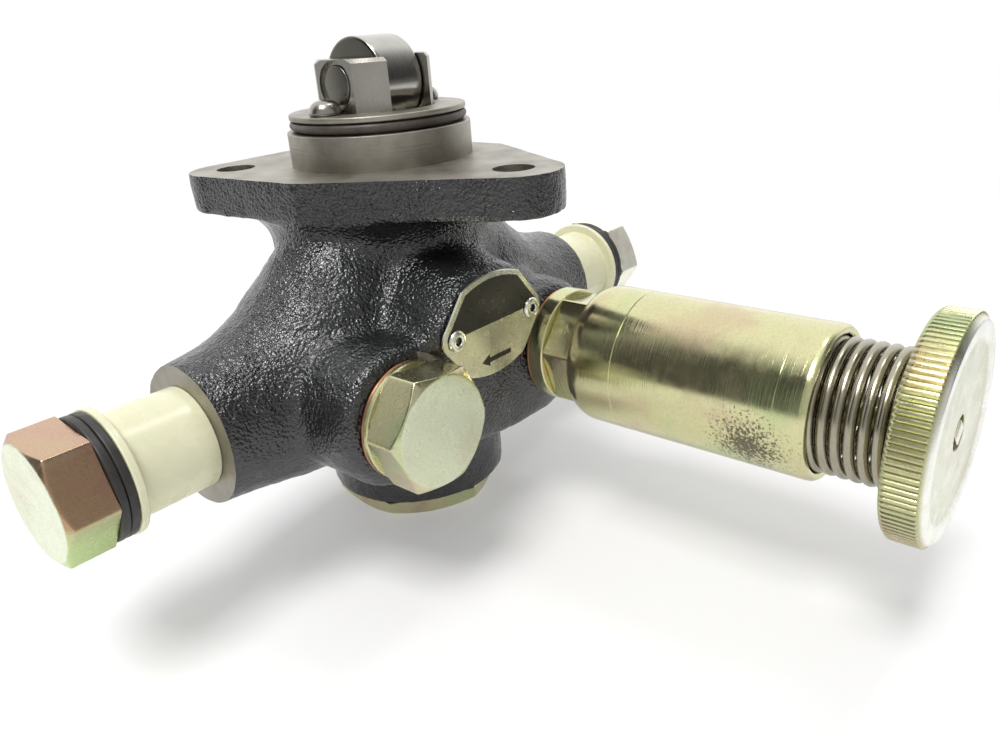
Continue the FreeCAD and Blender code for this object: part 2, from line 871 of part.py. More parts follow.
def push_rod():
    body = new_body("push_rod")
    top, bottom = -D["tappet_bottom"] - 0.05, -D["piston_top"]
    radius, edge = D["push_rod_radius"], 0.4
    outline = [
        (0, bottom),
        (radius - edge, bottom),
        (radius, bottom + edge),
        (radius, top - edge),
        (radius - edge, top),
        (0, top),
    ]
    turn(body, "push_rod_turned", outline)
    return body


def piston():
    body = new_body("piston", 0, 0, -D["piston_top"])
    length, radius, cup = D["piston_length"], D["piston_radius"], D["piston_cup_radius"]
    edge = 0.4
    outline = [
        (0, -(length - D["piston_cup_depth"])),
        (cup, -(length - D["piston_cup_depth"])),
        (cup, -length),
        (radius - edge, -length),
        (radius, edge - length),
        (radius, -edge),
        (radius - edge, 0),
        (0, 0),
    ]
    turn(body, "piston_turned", outline)
    return body


def piston_spring():
    top = -D["piston_top"] - (D["piston_length"] - D["piston_cup_depth"]) - 0.05
    seat = -D["body_bottom"] + D["piston_plug_depth"] - D["piston_plug_recess"] + 0.05
    return coil("piston_spring", D["piston_spring_radius"], D["piston_spring_wire"], seat, top,
                PISTON_SPRING_COILS)


def piston_plug():
    body = new_body("piston_plug", 0, 0, -D["body_bottom"], "-z")
    gasket, height = D["piston_gasket_thickness"], D["piston_plug_height"]
    depth, radius = D["piston_plug_depth"], D["piston_plug_radius"]
    recess = D["piston_cup_radius"]
    outline = [
        (0, gasket + 1),
        (0, D["piston_plug_recess"] - depth),
        (recess, D["piston_plug_recess"] - depth),
        (recess, -depth),
        (radius - 1, -depth),
        (radius, 1 - depth),
        (radius, gasket + 1),
    ]
    turn(body, "plug_turned", outline)
    hex_head(body, "plug_hex", D["piston_plug_flats"], PISTON_PLUG_HEX_ANGLE, gasket, height,
             D["piston_plug_flats"] * 0.49)
    return body


def piston_plug_gasket():
    return ring("piston_plug_gasket", D["piston_plug_radius"] + D["static_gap"],
                D["piston_gasket_radius"], 0, D["piston_gasket_thickness"],
                0, 0, -D["body_bottom"], "-z")


def outlet_valve_plug():
    body = new_body("outlet_valve_plug", D["outlet_valve_x"], -D["outlet_face"], D["outlet_valve_z"], "-y")
    depth, gasket = D["valve_thread_depth"] - 0.6, D["gasket_thickness"]
    radius = D["valve_thread_radius"] - D["static_gap"]
    guide = D["valve_stem_radius"] + D["running_fit"]
    guide_depth = D["valve_stem_entry"] + D["valve_lift"] + 2
    outline = [
        (0, gasket + 1),
        (0, guide_depth - depth),
        (guide, guide_depth - depth),
        (guide, -depth),
        (radius - 1, -depth),
        (radius, 1 - depth),
        (radius, gasket + 1),
    ]
    turn(body, "valve_plug_turned", outline)
    hex_head(body, "valve_plug_hex", D["plug_flats"], OUTLET_HEX_ANGLE, gasket,
             gasket + D["plug_head_height"], D["plug_flats"] * 0.49)
    return body


def outlet_valve_gasket():
    return ring("outlet_valve_gasket", D["valve_thread_radius"] + 0.1, D["plug_gasket_radius"],
                0, D["gasket_thickness"], D["outlet_valve_x"], -D["outlet_face"], D["outlet_valve_z"],
                "-y", 0.3)


def check_valve(label, x, z, face):
    """A flat disc valve whose stem runs in a guide bore of the plug or primer facing it."""
    body = new_body(label, x, -D["valve_seat"], z, "-y")
    disc, stem = D["valve_disc_height"] + 0.02, D["valve_stem_radius"]
    end = face - (D["valve_thread_depth"] - 0.6) - D["valve_seat"] + D["valve_stem_entry"]
    outline = [
        (0, 0.02),
        (D["valve_disc_radius"], 0.02),
        (D["valve_disc_radius"], disc),
        (stem, disc),
        (stem, end),
        (0, end),
    ]
    turn(body, label + "_turned", outline)
    return body


def check_valve_spring(label, x, z, face):
    start = D["valve_disc_height"] + 0.1
    end = face - (D["valve_thread_depth"] - 0.6) - D["valve_seat"] - 0.05
    return coil(label, D["valve_spring_radius"], D["valve_spring_wire"], start, end,
                VALVE_SPRING_COILS, x, -D["valve_seat"], z, "-y")


def banjo_bolts():
    bolts = []
    shank = D["sleeve_length"] + D["washer_thickness"] * 2 + D["washer_gap"] * 2
    radius, thread, bore = D["bolt_radius"], D["bolt_thread"], D["bolt_bore_radius"]
    for side, x, along, spin in (
        ("outlet", D["port_left_x"], "-x", PORT_HEX_ANGLE),
        ("inlet", D["port_right_x"], "x", -PORT_HEX_ANGLE),
    ):
        body = new_body("banjo_bolt_" + side, x, D["port_y"], D["port_z"], along)
        outline = [
            (bore, -thread),
            (radius - 1, -thread),
            (radius, 1 - thread),
            (radius, shank + 1),
            (0, shank + 1),
            (0, shank - 5),
            (bore, shank - 7),
        ]
        turn(body, "bolt_turned_" + side, outline)
        hex_head(body, "bolt_hex_" + side, D["bolt_flats"], spin, shank,
                 shank + D["bolt_head_height"], D["bolt_flats"] * 0.49)
        bolts.append(body)
    crosses = [
        cylinder("bolt_cross_" + side, D["bolt_cross_radius"], radius * 2 + 4, x, D["port_y"],
                 D["port_z"] - radius - 2)
        for side, x in (
            ("outlet", D["port_left_x"] - D["sleeve_length"] * 0.5),
            ("inlet", D["port_right_x"] + D["sleeve_length"] * 0.5),
        )
    ]
    drilled = [
        cut("drilled_" + body.Name, body, cross) for body, cross in zip(bolts, crosses)
    ]
    return grouped("banjo_bolts", drilled)


def port_sleeves():
    sleeves = []
    inner, outer = D["bolt_radius"] + 0.3, D["sleeve_radius"]
    wide, end = D["sleeve_flange_radius"], D["sleeve_length"]
    step = end - D["sleeve_flange_height"]
    for side, x, along in (("outlet", D["port_left_x"], "-x"), ("inlet", D["port_right_x"], "x")):
        body = new_body("port_sleeve_" + side, x, D["port_y"], D["port_z"], along)
        outline = [(inner, 0), (outer, 0), (outer, step), (wide, step), (wide, end), (inner, end)]
        turn(body, "sleeve_turned_" + side, outline)
        sleeves.append(body)
    return grouped("port_sleeves", sleeves)


def port_washers():
    washers = []
    inner, outer = D["bolt_radius"] + 0.2, D["washer_radius"]
    for side, x, along in (("outlet", D["port_left_x"], "-x"), ("inlet", D["port_right_x"], "x")):
        for index in range(2):
            start = D["sleeve_length"] + D["washer_gap"] + (D["washer_thickness"] + D["washer_gap"]) * index
            washers.append(ring("port_washer_" + side + "_" + str(index + 1), inner, outer, start,
                                start + D["washer_thickness"], x, D["port_y"], D["port_z"], along, 0.35))
    return grouped("port_washers", washers)


def primer_gasket():
    return ring("primer_gasket", D["valve_thread_radius"] + 0.1, D["primer_gasket_radius"], 0,
                D["gasket_thickness"], D["inlet_valve_x"], -D["inlet_face"], D["inlet_valve_z"], "-y", 0.3)


def primer_barrel():
    body = new_body("primer_barrel_blank", D["inlet_valve_x"], -D["inlet_face"], D["inlet_valve_z"], "-y")
    thread, depth = D["valve_thread_radius"] - D["static_gap"], D["valve_thread_depth"] - 0.6
    guide = D["valve_stem_radius"] + D["running_fit"]
    hex_end, barrel, end = D["primer_hex_end"], D["barrel_radius"], D["barrel_end"]
    neck = D["primer_flats"] * 0.48
    outline = [
        (guide, -depth),
        (thread - 1, -depth),
        (thread, 1 - depth),
        (thread, D["gasket_thickness"]),
        (D["primer_collar_radius"], D["gasket_thickness"]),
        (D["primer_collar_radius"], D["primer_collar_end"]),
        (neck, D["primer_collar_end"]),
        (neck, hex_end),
        (barrel - 2.4, hex_end + 0.2),
        (barrel - 1.1, hex_end + 0.8),
        (barrel - 0.3, hex_end + 2.1),
        (barrel, hex_end + 3.8),
        (barrel, end - 1.0),
        (barrel - 0.3, end - 0.3),
        (barrel - 1.0, end),
        (D["barrel_bore"], end),
        (D["barrel_bore"], D["barrel_floor"]),
        (D["cylinder_outer"], D["barrel_floor"]),
        (D["cylinder_outer"], D["cylinder_end"]),
        (D["cylinder_bore"], D["cylinder_end"]),
        (D["cylinder_bore"], hex_end),
        (guide, hex_end),
    ]
    turn(body, "barrel_turned", outline)
    pad(body, "barrel_hex", hexagon(D["primer_flats"], PRIMER_HEX_ANGLE), D["primer_collar_end"], hex_end)
    turn(body, "barrel_hex_bore", [(0, D["primer_collar_end"] - 1), (guide, D["primer_collar_end"] - 1),
                                   (guide, hex_end + 1), (0, hex_end + 1)], cut=True)
    ports = []
    for index in range(3):
        turned = math.radians(90.0 + 120.0 * index)
        ports.append(cylinder("primer_feed_" + str(index + 1), 1.3, depth + hex_end + 3,
                              D["inlet_valve_x"] + 5.6 * math.cos(turned), depth - D["inlet_face"] + 1,
                              D["inlet_valve_z"] + 5.6 * math.sin(turned), "-y"))
    return cut("primer_barrel", body, fused("primer_feed_holes", ports))


def primer_guide():
    body = new_body("primer_guide", D["inlet_valve_x"], -D["inlet_face"], D["inlet_valve_z"], "-y")
    bore, end = D["rod_radius"] + D["running_fit"], D["cylinder_end"]
    outline = [
        (bore, end - 3.5),
        (D["cylinder_bore"] - 0.05, end - 3.5),
        (D["cylinder_bore"] - 0.05, end),
        (D["cylinder_outer"], end),
        (D["cylinder_outer"], end + D["guide_flange_height"]),
        (bore, end + D["guide_flange_height"]),
    ]
    turn(body, "guide_turned", outline)
    return body


def primer_rod():
    body = new_body("primer_rod", D["inlet_valve_x"], -D["inlet_face"], D["inlet_valve_z"], "-y")
    start, knob = D["primer_piston_start"], D["knob_start"]
    end = knob + D["knob_thickness"] - D["knob_dish_depth"] - 1.3
    radius, neck = D["rod_radius"], D["rod_neck_radius"]
    outline = [
        (0, start - 1.2),
        (radius + 1.6, start - 1.2),
        (radius + 1.6, start),
        (neck, start),
        (neck, start + D["primer_piston_length"]),
        (radius, start + D["primer_piston_length"]),
        (radius, knob),
        (neck, knob),
        (neck, end),
        (0, end),
    ]
    turn(body, "rod_turned", outline)
    return body


def primer_piston():
    body = new_body("primer_piston", D["inlet_valve_x"], -D["inlet_face"], D["inlet_valve_z"], "-y")
    start, length = D["primer_piston_start"], D["primer_piston_length"]
    outer, bore = D["cylinder_bore"] - D["running_fit"], D["rod_neck_radius"] + 0.02
    outline = [
        (bore, start),
        (outer, start),
        (outer, start + length * 0.35),
        (outer - 1, start + length * 0.35),
        (outer - 1, start + length * 0.65),
        (outer, start + length * 0.65),
        (outer, start + length),
        (bore, start + length),
    ]
    turn(body, "primer_piston_turned", outline)
    return body


def primer_spring():
    return coil("primer_spring", D["primer_spring_radius"], D["primer_spring_wire"],
                D["barrel_floor"] + 0.05, D["knob_start"] - 0.05, PRIMER_SPRING_COILS,
                D["inlet_valve_x"], -D["inlet_face"], D["inlet_valve_z"], "-y")


def primer_knob():
    body = new_body("primer_knob", D["inlet_valve_x"], -D["inlet_face"], D["inlet_valve_z"], "-y")
    start, radius = D["knob_start"], D["knob_radius"]
    end = start + D["knob_thickness"]
    dish, deep = D["knob_dish_radius"], D["knob_dish_depth"]
    bore, edge = D["rod_neck_radius"] + 0.02, 0.7
    outline = [
        (bore, start),
        (radius - edge, start),
        (radius, start + edge),
        (radius, end - edge),
        (radius - edge, end),
        (dish + 0.8, end),
        (dish, end - deep),
        (bore, end - deep),
    ]
    turn(body, "knob_turned", outline)
    half = D["knob_socket"] * 0.5
    corner = half * math.sqrt(2.0)
    diamond = [(corner, 0), (0, corner), (-corner, 0), (0, -corner)]
    pocket(body, "knob_socket", lambda s: draw_polygon(s, diamond), end - deep - 1.2, end)
    depth = D["knurl_depth"]
    wide = radius * (math.pi / KNURL_TEETH * 0.62)
    notch = [(radius - depth, 0), (radius + 0.6, wide), (radius + 0.6, -wide)]
    groove = pocket(body, "knurl_notch", lambda s: draw_polygon(s, notch), start - 1, end + 1)
    pattern = body.newObject("PartDesign::PolarPattern", "knurl")
    pattern.Originals = [groove]
    pattern.Axis = (datum(body, "Z_Axis"), [""])
    pattern.Angle = 360
    pattern.Occurrences = KNURL_TEETH
    body.Tip = pattern
    return body


def name_plate():
    body = new_body("name_plate_blank", 0, 0, 0, "-y")
    face = D["plate_face"]
    pad(body, "plate_sheet", lambda s: draw_polygon(s, plate_outline(0)), face,
        face + D["plate_thickness"])
    holes = [
        cylinder("plate_hole_" + side, D["rivet_shank_radius"] + D["running_fit"],
                 D["plate_thickness"] + 2, D["plate_x"] + D["rivet_spacing"] * 0.5 * sign,
                 1 - face, D["plate_z"], "-y")
        for side, sign in (("left", -1), ("right", 1))
    ]
    return cut("name_plate", body, fused("plate_holes", holes))


def plate_rivets():
    rivets = []
    thick = D["plate_thickness"]
    head, rise = D["rivet_head_radius"], D["rivet_head_height"]
    shank, bore = D["rivet_shank_radius"], D["rivet_bore_radius"]
    for side, sign in (("left", -1), ("right", 1)):
        body = new_body("plate_rivet_" + side, D["plate_x"] + D["rivet_spacing"] * 0.5 * sign,
                        -D["plate_face"], D["plate_z"], "-y")
        outline = [
            (0, -D["rivet_depth"]),
            (shank, -D["rivet_depth"]),
            (shank, thick),
            (head, thick),
            (head, thick + rise * 0.35),
            (head * 0.85, thick + rise * 0.8),
            (head * 0.6, thick + rise),
            (bore, thick + rise * 0.7),
            (bore, thick - 1.5),
            (0, thick - 1.5),
        ]
        turn(body, "rivet_turned_" + side, outline)
        rivets.append(body)
    return grouped("plate_rivets", rivets)


def build_all():
    return [
        pump_housing(),
        housing_o_ring(),
        tappet_guide_pins(),
        tappet_body(),
        tappet_roller(),
        roller_pin(),
        push_rod(),
        piston(),
        piston_spring(),
        piston_plug(),
        piston_plug_gasket(),
        outlet_valve_plug(),
        outlet_valve_gasket(),
        check_valve("outlet_valve", D["outlet_valve_x"], D["outlet_valve_z"],
                    D["outlet_face"]),
        check_valve_spring("outlet_valve_spring", D["outlet_valve_x"], D["outlet_valve_z"],
                           D["outlet_face"]),
        check_valve("inlet_valve", D["inlet_valve_x"], D["inlet_valve_z"],
                    D["inlet_face"]),
        check_valve_spring("inlet_valve_spring", D["inlet_valve_x"], D["inlet_valve_z"],
                           D["inlet_face"]),
        banjo_bolts(),
        port_sleeves(),
        port_washers(),
        primer_gasket(),
        primer_barrel(),
        primer_guide(),
        primer_rod(),
        primer_piston(),
        primer_spring(),
        primer_knob(),
        name_plate(),
        plate_rivets(),
    ]


def check_states():
    for item in doc.Objects:
        bad = [state for state in item.State if state in ("Invalid", "Error")]
        if bad:
            raise RuntimeError(item.Label + " is " + ", ".join(bad))


def write_parts(nodes):
    os.makedirs("parts", exist_ok=True)
    for node in nodes:
        shape = node.Shape
        if shape.isNull() or not shape.isValid():
            raise RuntimeError(node.Label + " has no valid shape")
        solids = len(shape.Solids)
        if solids == 0:
            raise RuntimeError(node.Label + " has no solid")
        shape.exportStep("parts/" + node.Label + ".step")
        box = shape.BoundBox
        print(node.Label, solids, "solids", round(shape.Volume, 1), "mm3",
              [round(v, 1) for v in (box.XMin, box.YMin, box.ZMin, box.XMax, box.YMax, box.ZMax)])


nodes = build_all()
doc.recompute()
check_states()
write_parts(nodes)
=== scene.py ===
import json
import math

import bmesh
import bpy
import numpy as np
from mathutils import Matrix, Vector, noise


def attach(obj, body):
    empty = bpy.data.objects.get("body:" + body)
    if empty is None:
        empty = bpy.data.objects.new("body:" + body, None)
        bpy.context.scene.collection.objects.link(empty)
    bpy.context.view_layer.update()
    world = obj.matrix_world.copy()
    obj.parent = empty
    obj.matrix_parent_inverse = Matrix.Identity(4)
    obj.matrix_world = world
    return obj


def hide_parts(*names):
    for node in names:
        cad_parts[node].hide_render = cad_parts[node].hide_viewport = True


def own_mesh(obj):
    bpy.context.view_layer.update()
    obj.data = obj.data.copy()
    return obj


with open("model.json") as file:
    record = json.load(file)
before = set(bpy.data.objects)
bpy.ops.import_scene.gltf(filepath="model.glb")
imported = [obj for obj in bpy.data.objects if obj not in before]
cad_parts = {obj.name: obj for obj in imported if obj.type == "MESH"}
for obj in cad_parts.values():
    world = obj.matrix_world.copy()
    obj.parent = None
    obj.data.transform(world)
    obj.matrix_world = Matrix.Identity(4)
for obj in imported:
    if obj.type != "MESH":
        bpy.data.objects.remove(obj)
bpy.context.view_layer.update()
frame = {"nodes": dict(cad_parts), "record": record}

# Looks of a fuel lift pump. Lengths below are in millimetres unless a name ends in _m.
# +Z is the tappet axis, the port bolts lie along X and the hand primer points to -Y.

MM = 0.001
TURNS = {
    "z": Matrix.Identity(4),
    "-z": Matrix.Rotation(math.pi, 4, "X"),
    "-y": Matrix.Rotation(math.pi / 2, 4, "X"),
    "y": Matrix.Rotation(-math.pi / 2, 4, "X"),
    "x": Matrix.Rotation(math.pi / 2, 4, "Y"),
    "-x": Matrix.Rotation(-math.pi / 2, 4, "Y"),
}

PORT_Y, PORT_Z = -4.0, -42.5
PORT_LEFT, PORT_RIGHT = -60.35, 51.7
OUTLET_X, OUTLET_Z, OUTLET_FACE = -32.2, -42.5, 34.4
INLET_X, INLET_Z, INLET_FACE = 14.1, -41.7, 36.6
PLATE_X, PLATE_Z, PLATE_FACE = -9.7, -29.5, 38.0
LIP_TOP, GROOVE_TOP, PILOT_TOP = 10.7, 9.55, 7.1
BODY_BOTTOM = 77.0
CUT_ALLOWANCE = 1.3
FLANGE_HOLES, HOLE_RADIUS = ((-22.75, 23.6), (18.2, 23.6), (-1.3, -38.8)), 4.2
OUTLET_SPOT, INLET_SPOT = 13.1, 12.9
RIVET_HALF = 11.45
HEX_FLATS, HEX_BEVEL = 22.0, 10.78
PLUG_FLATS, PLUG_BEVEL = 36.0, 17.64
COLLAR_RADIUS = 11.3
SLEEVE_LENGTH, SLEEVE_RIM = 17.15, 12.3
WASHER_THICK, SEAT_GAP = 1.65, 0.05
BOLT_SEAT = SLEEVE_LENGTH + 2 * WASHER_THICK + 2 * SEAT_GAP
BOLT_END = BOLT_SEAT + 9.0
GASKET_THICK = 0.5
BARREL_RADIUS, BARREL_SEAM, BARREL_LINE = 14.85, 22.9, 56.2
BARREL_FLOOR, BARREL_BORE, CYLINDER_BORE = 22.0, 13.05, 8.0
KNOB_START, KNOB_END, KNOB_TEETH, KNOB_RADIUS = 76.4, 83.45, 110, 20.6
KNOB_FACE_Y = -INLET_FACE - KNOB_END
ROLLER_Z, ROLLER_HALF, PIN_RADIUS, PIN_HALF = 16.2, 5.5, 3.99, 10.6
O_RING_RADIUS, O_RING_CORD = 18.36, 0.94
VALVE_SEAT = -15.6
FLOOR_Z = -82.3
# Middle and reach of the rubbed patch on the primer's barrel.
STAIN = ((INLET_X - 13.6, -INLET_FACE - 52.0, INLET_Z - 5.5), 11.0)


def setting(obj, mats, sharp=35.0):
    """Gives an object its materials and smooth shading with hard edges above an angle."""
    for mat in mats:
        obj.data.materials.append(mat)
    obj.data.shade_smooth()
    obj.data.set_sharp_from_angle(angle=math.radians(sharp))


def mesh_object(name, points, faces, origin=(0, 0, 0), along="z"):
    """Object from points in millimetres; its local z axis starts at origin and runs along a direction."""
    matrix = Matrix.Translation(Vector(origin)) @ TURNS[along]
    mesh = bpy.data.meshes.new(name)
    mesh.from_pydata([(matrix @ Vector(p)) * MM for p in points], [], faces)
    mesh.validate()
    obj = bpy.data.objects.new(name, mesh)
    bpy.context.scene.collection.objects.link(obj)
    return obj


def spread(count):
    """Angles evenly round a circle."""
    return [2 * math.pi * i / count for i in range(count)]


def rings_to_mesh(name, rings, angles, origin, along, closed=False):
    """Skins rings about the local z axis. A ring is (radius, height), numbers or functions of the angle."""
    points, index = [], []
    for radius, height in rings:
        if not callable(radius) and abs(radius) < 1e-9:
            index.append([len(points)])
            points.append((0.0, 0.0, height))
            continue
        row = []
        for angle in angles:
            r = radius(angle) if callable(radius) else radius
            h = height(angle) if callable(height) else height
            row.append(len(points))
            points.append((r * math.cos(angle), r * math.sin(angle), h))
        index.append(row)
    faces = []
    pairs = list(zip(index, index[1:]))
    if closed:
        pairs.append((index[-1], index[0]))
    count = len(angles)
    for low, high in pairs:
        for i in range(count):
            j = (i + 1) % count
            if len(low) == 1 and len(high) == 1:
                continue
            if len(low) == 1:
                faces.append((low[0], high[j], high[i]))
            elif len(high) == 1:
                faces.append((low[i], low[j], high[0]))
            else:
                faces.append((low[i], low[j], high[j], high[i]))
    return mesh_object(name, points, faces, origin, along)


def rounded(outline, radius, closed):
    """Rounds the corners of an outline of (r, h) points."""
    steps = 3
    result = []
    count = len(outline)
    for i, point in enumerate(outline):
        here = Vector(point)
        if not closed and i in (0, count - 1):
            result.append(tuple(here))
            continue
        before = Vector(outline[(i - 1) % count])
        after = Vector(outline[(i + 1) % count])
        a, b = before - here, after - here
        reach = min(radius, a.length * 0.45, b.length * 0.45)
        if reach < 1e-6 or a.angle(b, math.pi) > math.radians(165):
            result.append(tuple(here))
            continue
        start, end = here + a.normalized() * reach, here + b.normalized() * reach
        for k in range(steps + 1):
            t = k / steps
            p = start * (1 - t) ** 2 + here * 2 * t * (1 - t) + end * t ** 2
            result.append(tuple(p))
    return result


def lathe(name, outline, origin, along, edge, closed=True, count=128):
    """Turned piece from an outline of (r, h) points whose corners are rounded by edge."""
    return rings_to_mesh(name, rounded(outline, edge, closed), spread(count), origin, along, closed)


def hex_angles(turn):
    """Angles that crowd near the six corners."""
    offsets = [-27, -23, -18, -13, -9, -6, -4, -2.6, -1.6, -0.9, -0.4, 0,
               0.4, 0.9, 1.6, 2.6, 4, 6, 9, 13, 18, 23, 27, 30]
    return [math.radians(turn + 60 * k + o) for k in range(6) for o in offsets]


def bar_radius(across, normals, soft):
    """Distance from the axis to flat sides with slightly rounded corners; normals are in degrees."""
    turns = [math.radians(n) for n in normals]
    return lambda angle: across / 2 * sum(abs(math.cos(angle - t)) ** soft for t in turns) ** (-1 / soft)


def hex_radius(flats, turn, soft=70):
    return bar_radius(flats, [turn + 30 + 60 * k for k in range(3)], soft)


def hex_rings(flats, turn, start, end, bevel, seat=None):
    """Rings of a hexagon head up to its bevelled top; seat gives the radius of a bevelled base."""
    side = hex_radius(flats, turn)
    fall = math.tan(math.radians(30))
    slope = 0.6

    def edge(drop):
        return lambda angle: end - (side(angle) - bevel) * fall - drop

    def rise(height):
        return lambda angle: start + height + max(side(angle) - seat, 0) * slope

    def inward(amount):
        return lambda angle: side(angle) - amount

    if seat:
        rings = [
            (lambda angle: min(side(angle) - 0.1, seat), start),
            (lambda angle: min(side(angle), seat + 0.1), start + 0.1),
            (inward(0), rise(0.12)), (inward(0), rise(0.4)),
        ]
    else:
        rings = [
            (inward(0.5), start), (inward(0.12), start + 0.03),
            (inward(0), start + 0.16), (inward(0), start + 0.4),
        ]
    return rings + [
        (inward(0), edge(0.6)), (inward(0), edge(0.22)),
        (inward(0.04), edge(0.06)), (inward(0.15), edge(-0.08)),
        (lambda angle: min(side(angle) - 0.2, bevel + 0.16), end - 0.07), (bevel + 0.02, end - 0.02),
        (bevel - 0.16, end), (bevel - 0.5, end), (bevel * 0.6, end), (0.0, end),
    ]


# Materials


class Nodes:
    """Lays out a node tree whose textures lie in one coordinate."""

    def __init__(self, tree, coordinate):
        self.tree = tree
        self.place = tree.nodes.new("ShaderNodeTexCoord").outputs[coordinate]

    def node(self, kind, **inputs):
        made = self.tree.nodes.new("ShaderNode" + kind)
        for key, value in inputs.items():
            socket = made.inputs[key.replace("_", " ")]
            if isinstance(value, bpy.types.NodeSocket):
                self.tree.links.new(value, socket)
            else:
                socket.default_value = value
        return made

    def link(self, output, target):
        self.tree.links.new(output, target)

    def scaled(self, x=1.0, y=1.0, z=1.0):
        mapping = self.node("Mapping", Vector=self.place)
        mapping.inputs["Scale"].default_value = (x, y, z)
        return mapping.outputs["Vector"]

    def noise(self, per_metre, detail=3.0, rough=0.55, vector=None, warp=0.0):
        made = self.node("TexNoise", Vector=vector or self.place, Scale=per_metre, Detail=detail,
                         Roughness=rough, Distortion=warp)
        return made.outputs["Fac"]

    def cells(self, per_metre, smooth):
        made = self.tree.nodes.new("ShaderNodeTexVoronoi")
        made.feature = "SMOOTH_F1"
        self.link(self.place, made.inputs["Vector"])
        made.inputs["Scale"].default_value = per_metre
        made.inputs["Smoothness"].default_value = smooth
        return made.outputs["Distance"]

    def ramp(self, factor, *stops):
        made = self.node("ValToRGB", Fac=factor)
        items = made.color_ramp.elements
        while len(items) < len(stops):
            items.new(0.5)
        for item, (position, color) in zip(items, stops):
            item.position = position
            if not isinstance(color, (tuple, list)):
                color = (color, color, color)
            item.color = (*color[:3], 1.0)
        return made.outputs["Color"]

    def mix(self, factor, a, b):
        made = self.tree.nodes.new("ShaderNodeMix")
        made.data_type = "RGBA"
        for key, value in (("Factor", factor), ("A", a), ("B", b)):
            socket = [s for s in made.inputs if s.name == key and s.enabled][0]
            if isinstance(value, bpy.types.NodeSocket):
                self.link(value, socket)
            elif isinstance(value, (tuple, list)):
                socket.default_value = (*value[:3], 1.0)
            else:
                socket.default_value = value
        return [s for s in made.outputs if s.enabled][0]

    def math(self, operation, a, b=0.0):
        made = self.tree.nodes.new("ShaderNodeMath")
        made.operation = operation
        for socket, value in zip(made.inputs, (a, b)):
            if isinstance(value, bpy.types.NodeSocket):
                self.link(value, socket)
            else:
                socket.default_value = value
        return made.outputs[0]

    def axes(self):
        split = self.node("SeparateXYZ", Vector=self.place)
        return split.outputs["X"], split.outputs["Y"], split.outputs["Z"]

    def hypot(self, a, b):
        squares = self.math("ADD", self.math("MULTIPLY", a, a), self.math("MULTIPLY", b, b))
        return self.math("SQRT", squares)

    def seen(self):
        """1 where the camera, a reflection or a clear piece sees the surface, 0 for its light."""
        path = self.node("LightPath")
        seen = self.math("MAXIMUM", path.outputs["Is Camera Ray"], path.outputs["Is Glossy Ray"])
        return self.math("MAXIMUM", seen, path.outputs["Is Transmission Ray"])


class Shader(Nodes):
    """A node material."""

    def __init__(self, name):
        self.mat = bpy.data.materials.new(name)
        self.mat.use_nodes = True
        super().__init__(self.mat.node_tree, "Object")
        self.bsdf = self.tree.nodes["Principled BSDF"]

    def put(self, socket, value):
        target = self.bsdf.inputs[socket]
        if isinstance(value, bpy.types.NodeSocket):
            self.link(value, target)
        else:
            target.default_value = value

    def bump(self, height, distance_m, strength=1.0):
        made = self.node("Bump", Height=height, Distance=distance_m, Strength=strength)
        self.put("Normal", made.outputs["Normal"])


def enamel_material():
    """Glossy black enamel over a coarse sand cast skin: each grain is a small bright bead."""
    s = Shader("black_enamel")
    grain = s.cells(1450, 0.5)
    fine = s.cells(3100, 0.4)
    swell = s.noise(420, 3.0, 0.6)
    patch = s.noise(60, 3.0, 0.55)
    height = s.math("ADD", s.math("MULTIPLY", grain, -1.0), s.math("MULTIPLY", fine, -0.4))
    height = s.math("MULTIPLY", height, s.ramp(s.noise(170, 3.0, 0.6), (0.3, 0.4), (0.65, 1.0)))
    height = s.math("ADD", height, s.math("MULTIPLY", swell, 0.9))
    s.put("Base Color", s.ramp(patch, (0.3, (0.008, 0.008, 0.009)), (0.7, (0.016, 0.016, 0.018))))
    s.put("Roughness", s.ramp(patch, (0.3, 0.10), (0.72, 0.22)))
    s.put("Specular IOR Level", 0.8)
    s.bump(height, 0.00032, 1.0)
    return s.mat


def machined_material():
    """Bare machined iron with turned marks and light staining."""
    s = Shader("machined_iron")
    x, y, z = s.axes()
    combined = s.node("CombineXYZ", X=s.hypot(x, y), Y=z)
    lines = s.node("TexNoise", Vector=combined.outputs["Vector"], Scale=2600.0, Detail=2.0)
    stain = s.noise(70, 5.0, 0.6)
    color = s.ramp(stain, (0.3, (0.21, 0.19, 0.155)), (0.55, (0.34, 0.32, 0.275)),
                   (0.8, (0.42, 0.40, 0.35)))
    s.put("Base Color", color)
    s.put("Metallic", 0.85)
    s.put("Roughness", s.ramp(s.noise(160, 4.0), (0.3, 0.34), (0.8, 0.55)))
    s.bump(lines.outputs["Fac"], 0.00010, 0.8)
    return s.mat


def steel_material(name, shade, rough, axis="z", painted_end_shade=None):
    """Ground steel with fine marks round an axis, or along z for axis "up".

    The last argument is the distance from the middle plane beyond which a piece that lies along x is
    painted darker: painted shade on its end faces.
    """
    s = Shader(name)
    stretch = {"x": (1.0, 0.06, 0.06), "y": (0.06, 1.0, 0.06), "z": (0.06, 0.06, 1.0),
               "up": (1.0, 1.0, 0.04)}[axis]
    lines = s.noise(5200, 2.0, 0.5, s.scaled(*stretch))
    cloud = s.noise(110, 4.0, 0.6)
    low = tuple(c * 0.82 for c in shade)
    color = s.ramp(cloud, (0.3, low), (0.7, shade))
    if painted_end_shade:
        reach = 20.0
        out = s.math("DIVIDE", s.math("ABSOLUTE", s.axes()[0]), reach * MM)
        ends = s.ramp(out, (painted_end_shade / reach - 0.006, 0.0), (painted_end_shade / reach, 1.0))
        # Painted shade: past that distance the end faces are coloured dark grey in place of the steel's own
        # colour.
        color = s.mix(ends, color, (0.17, 0.165, 0.14))
    s.put("Base Color", color)
    s.put("Metallic", 1.0)
    s.put("Roughness", s.ramp(lines, (0.3, rough * 0.8), (0.7, rough * 1.25)))
    s.bump(lines, 0.00003, 0.5)
    return s.mat


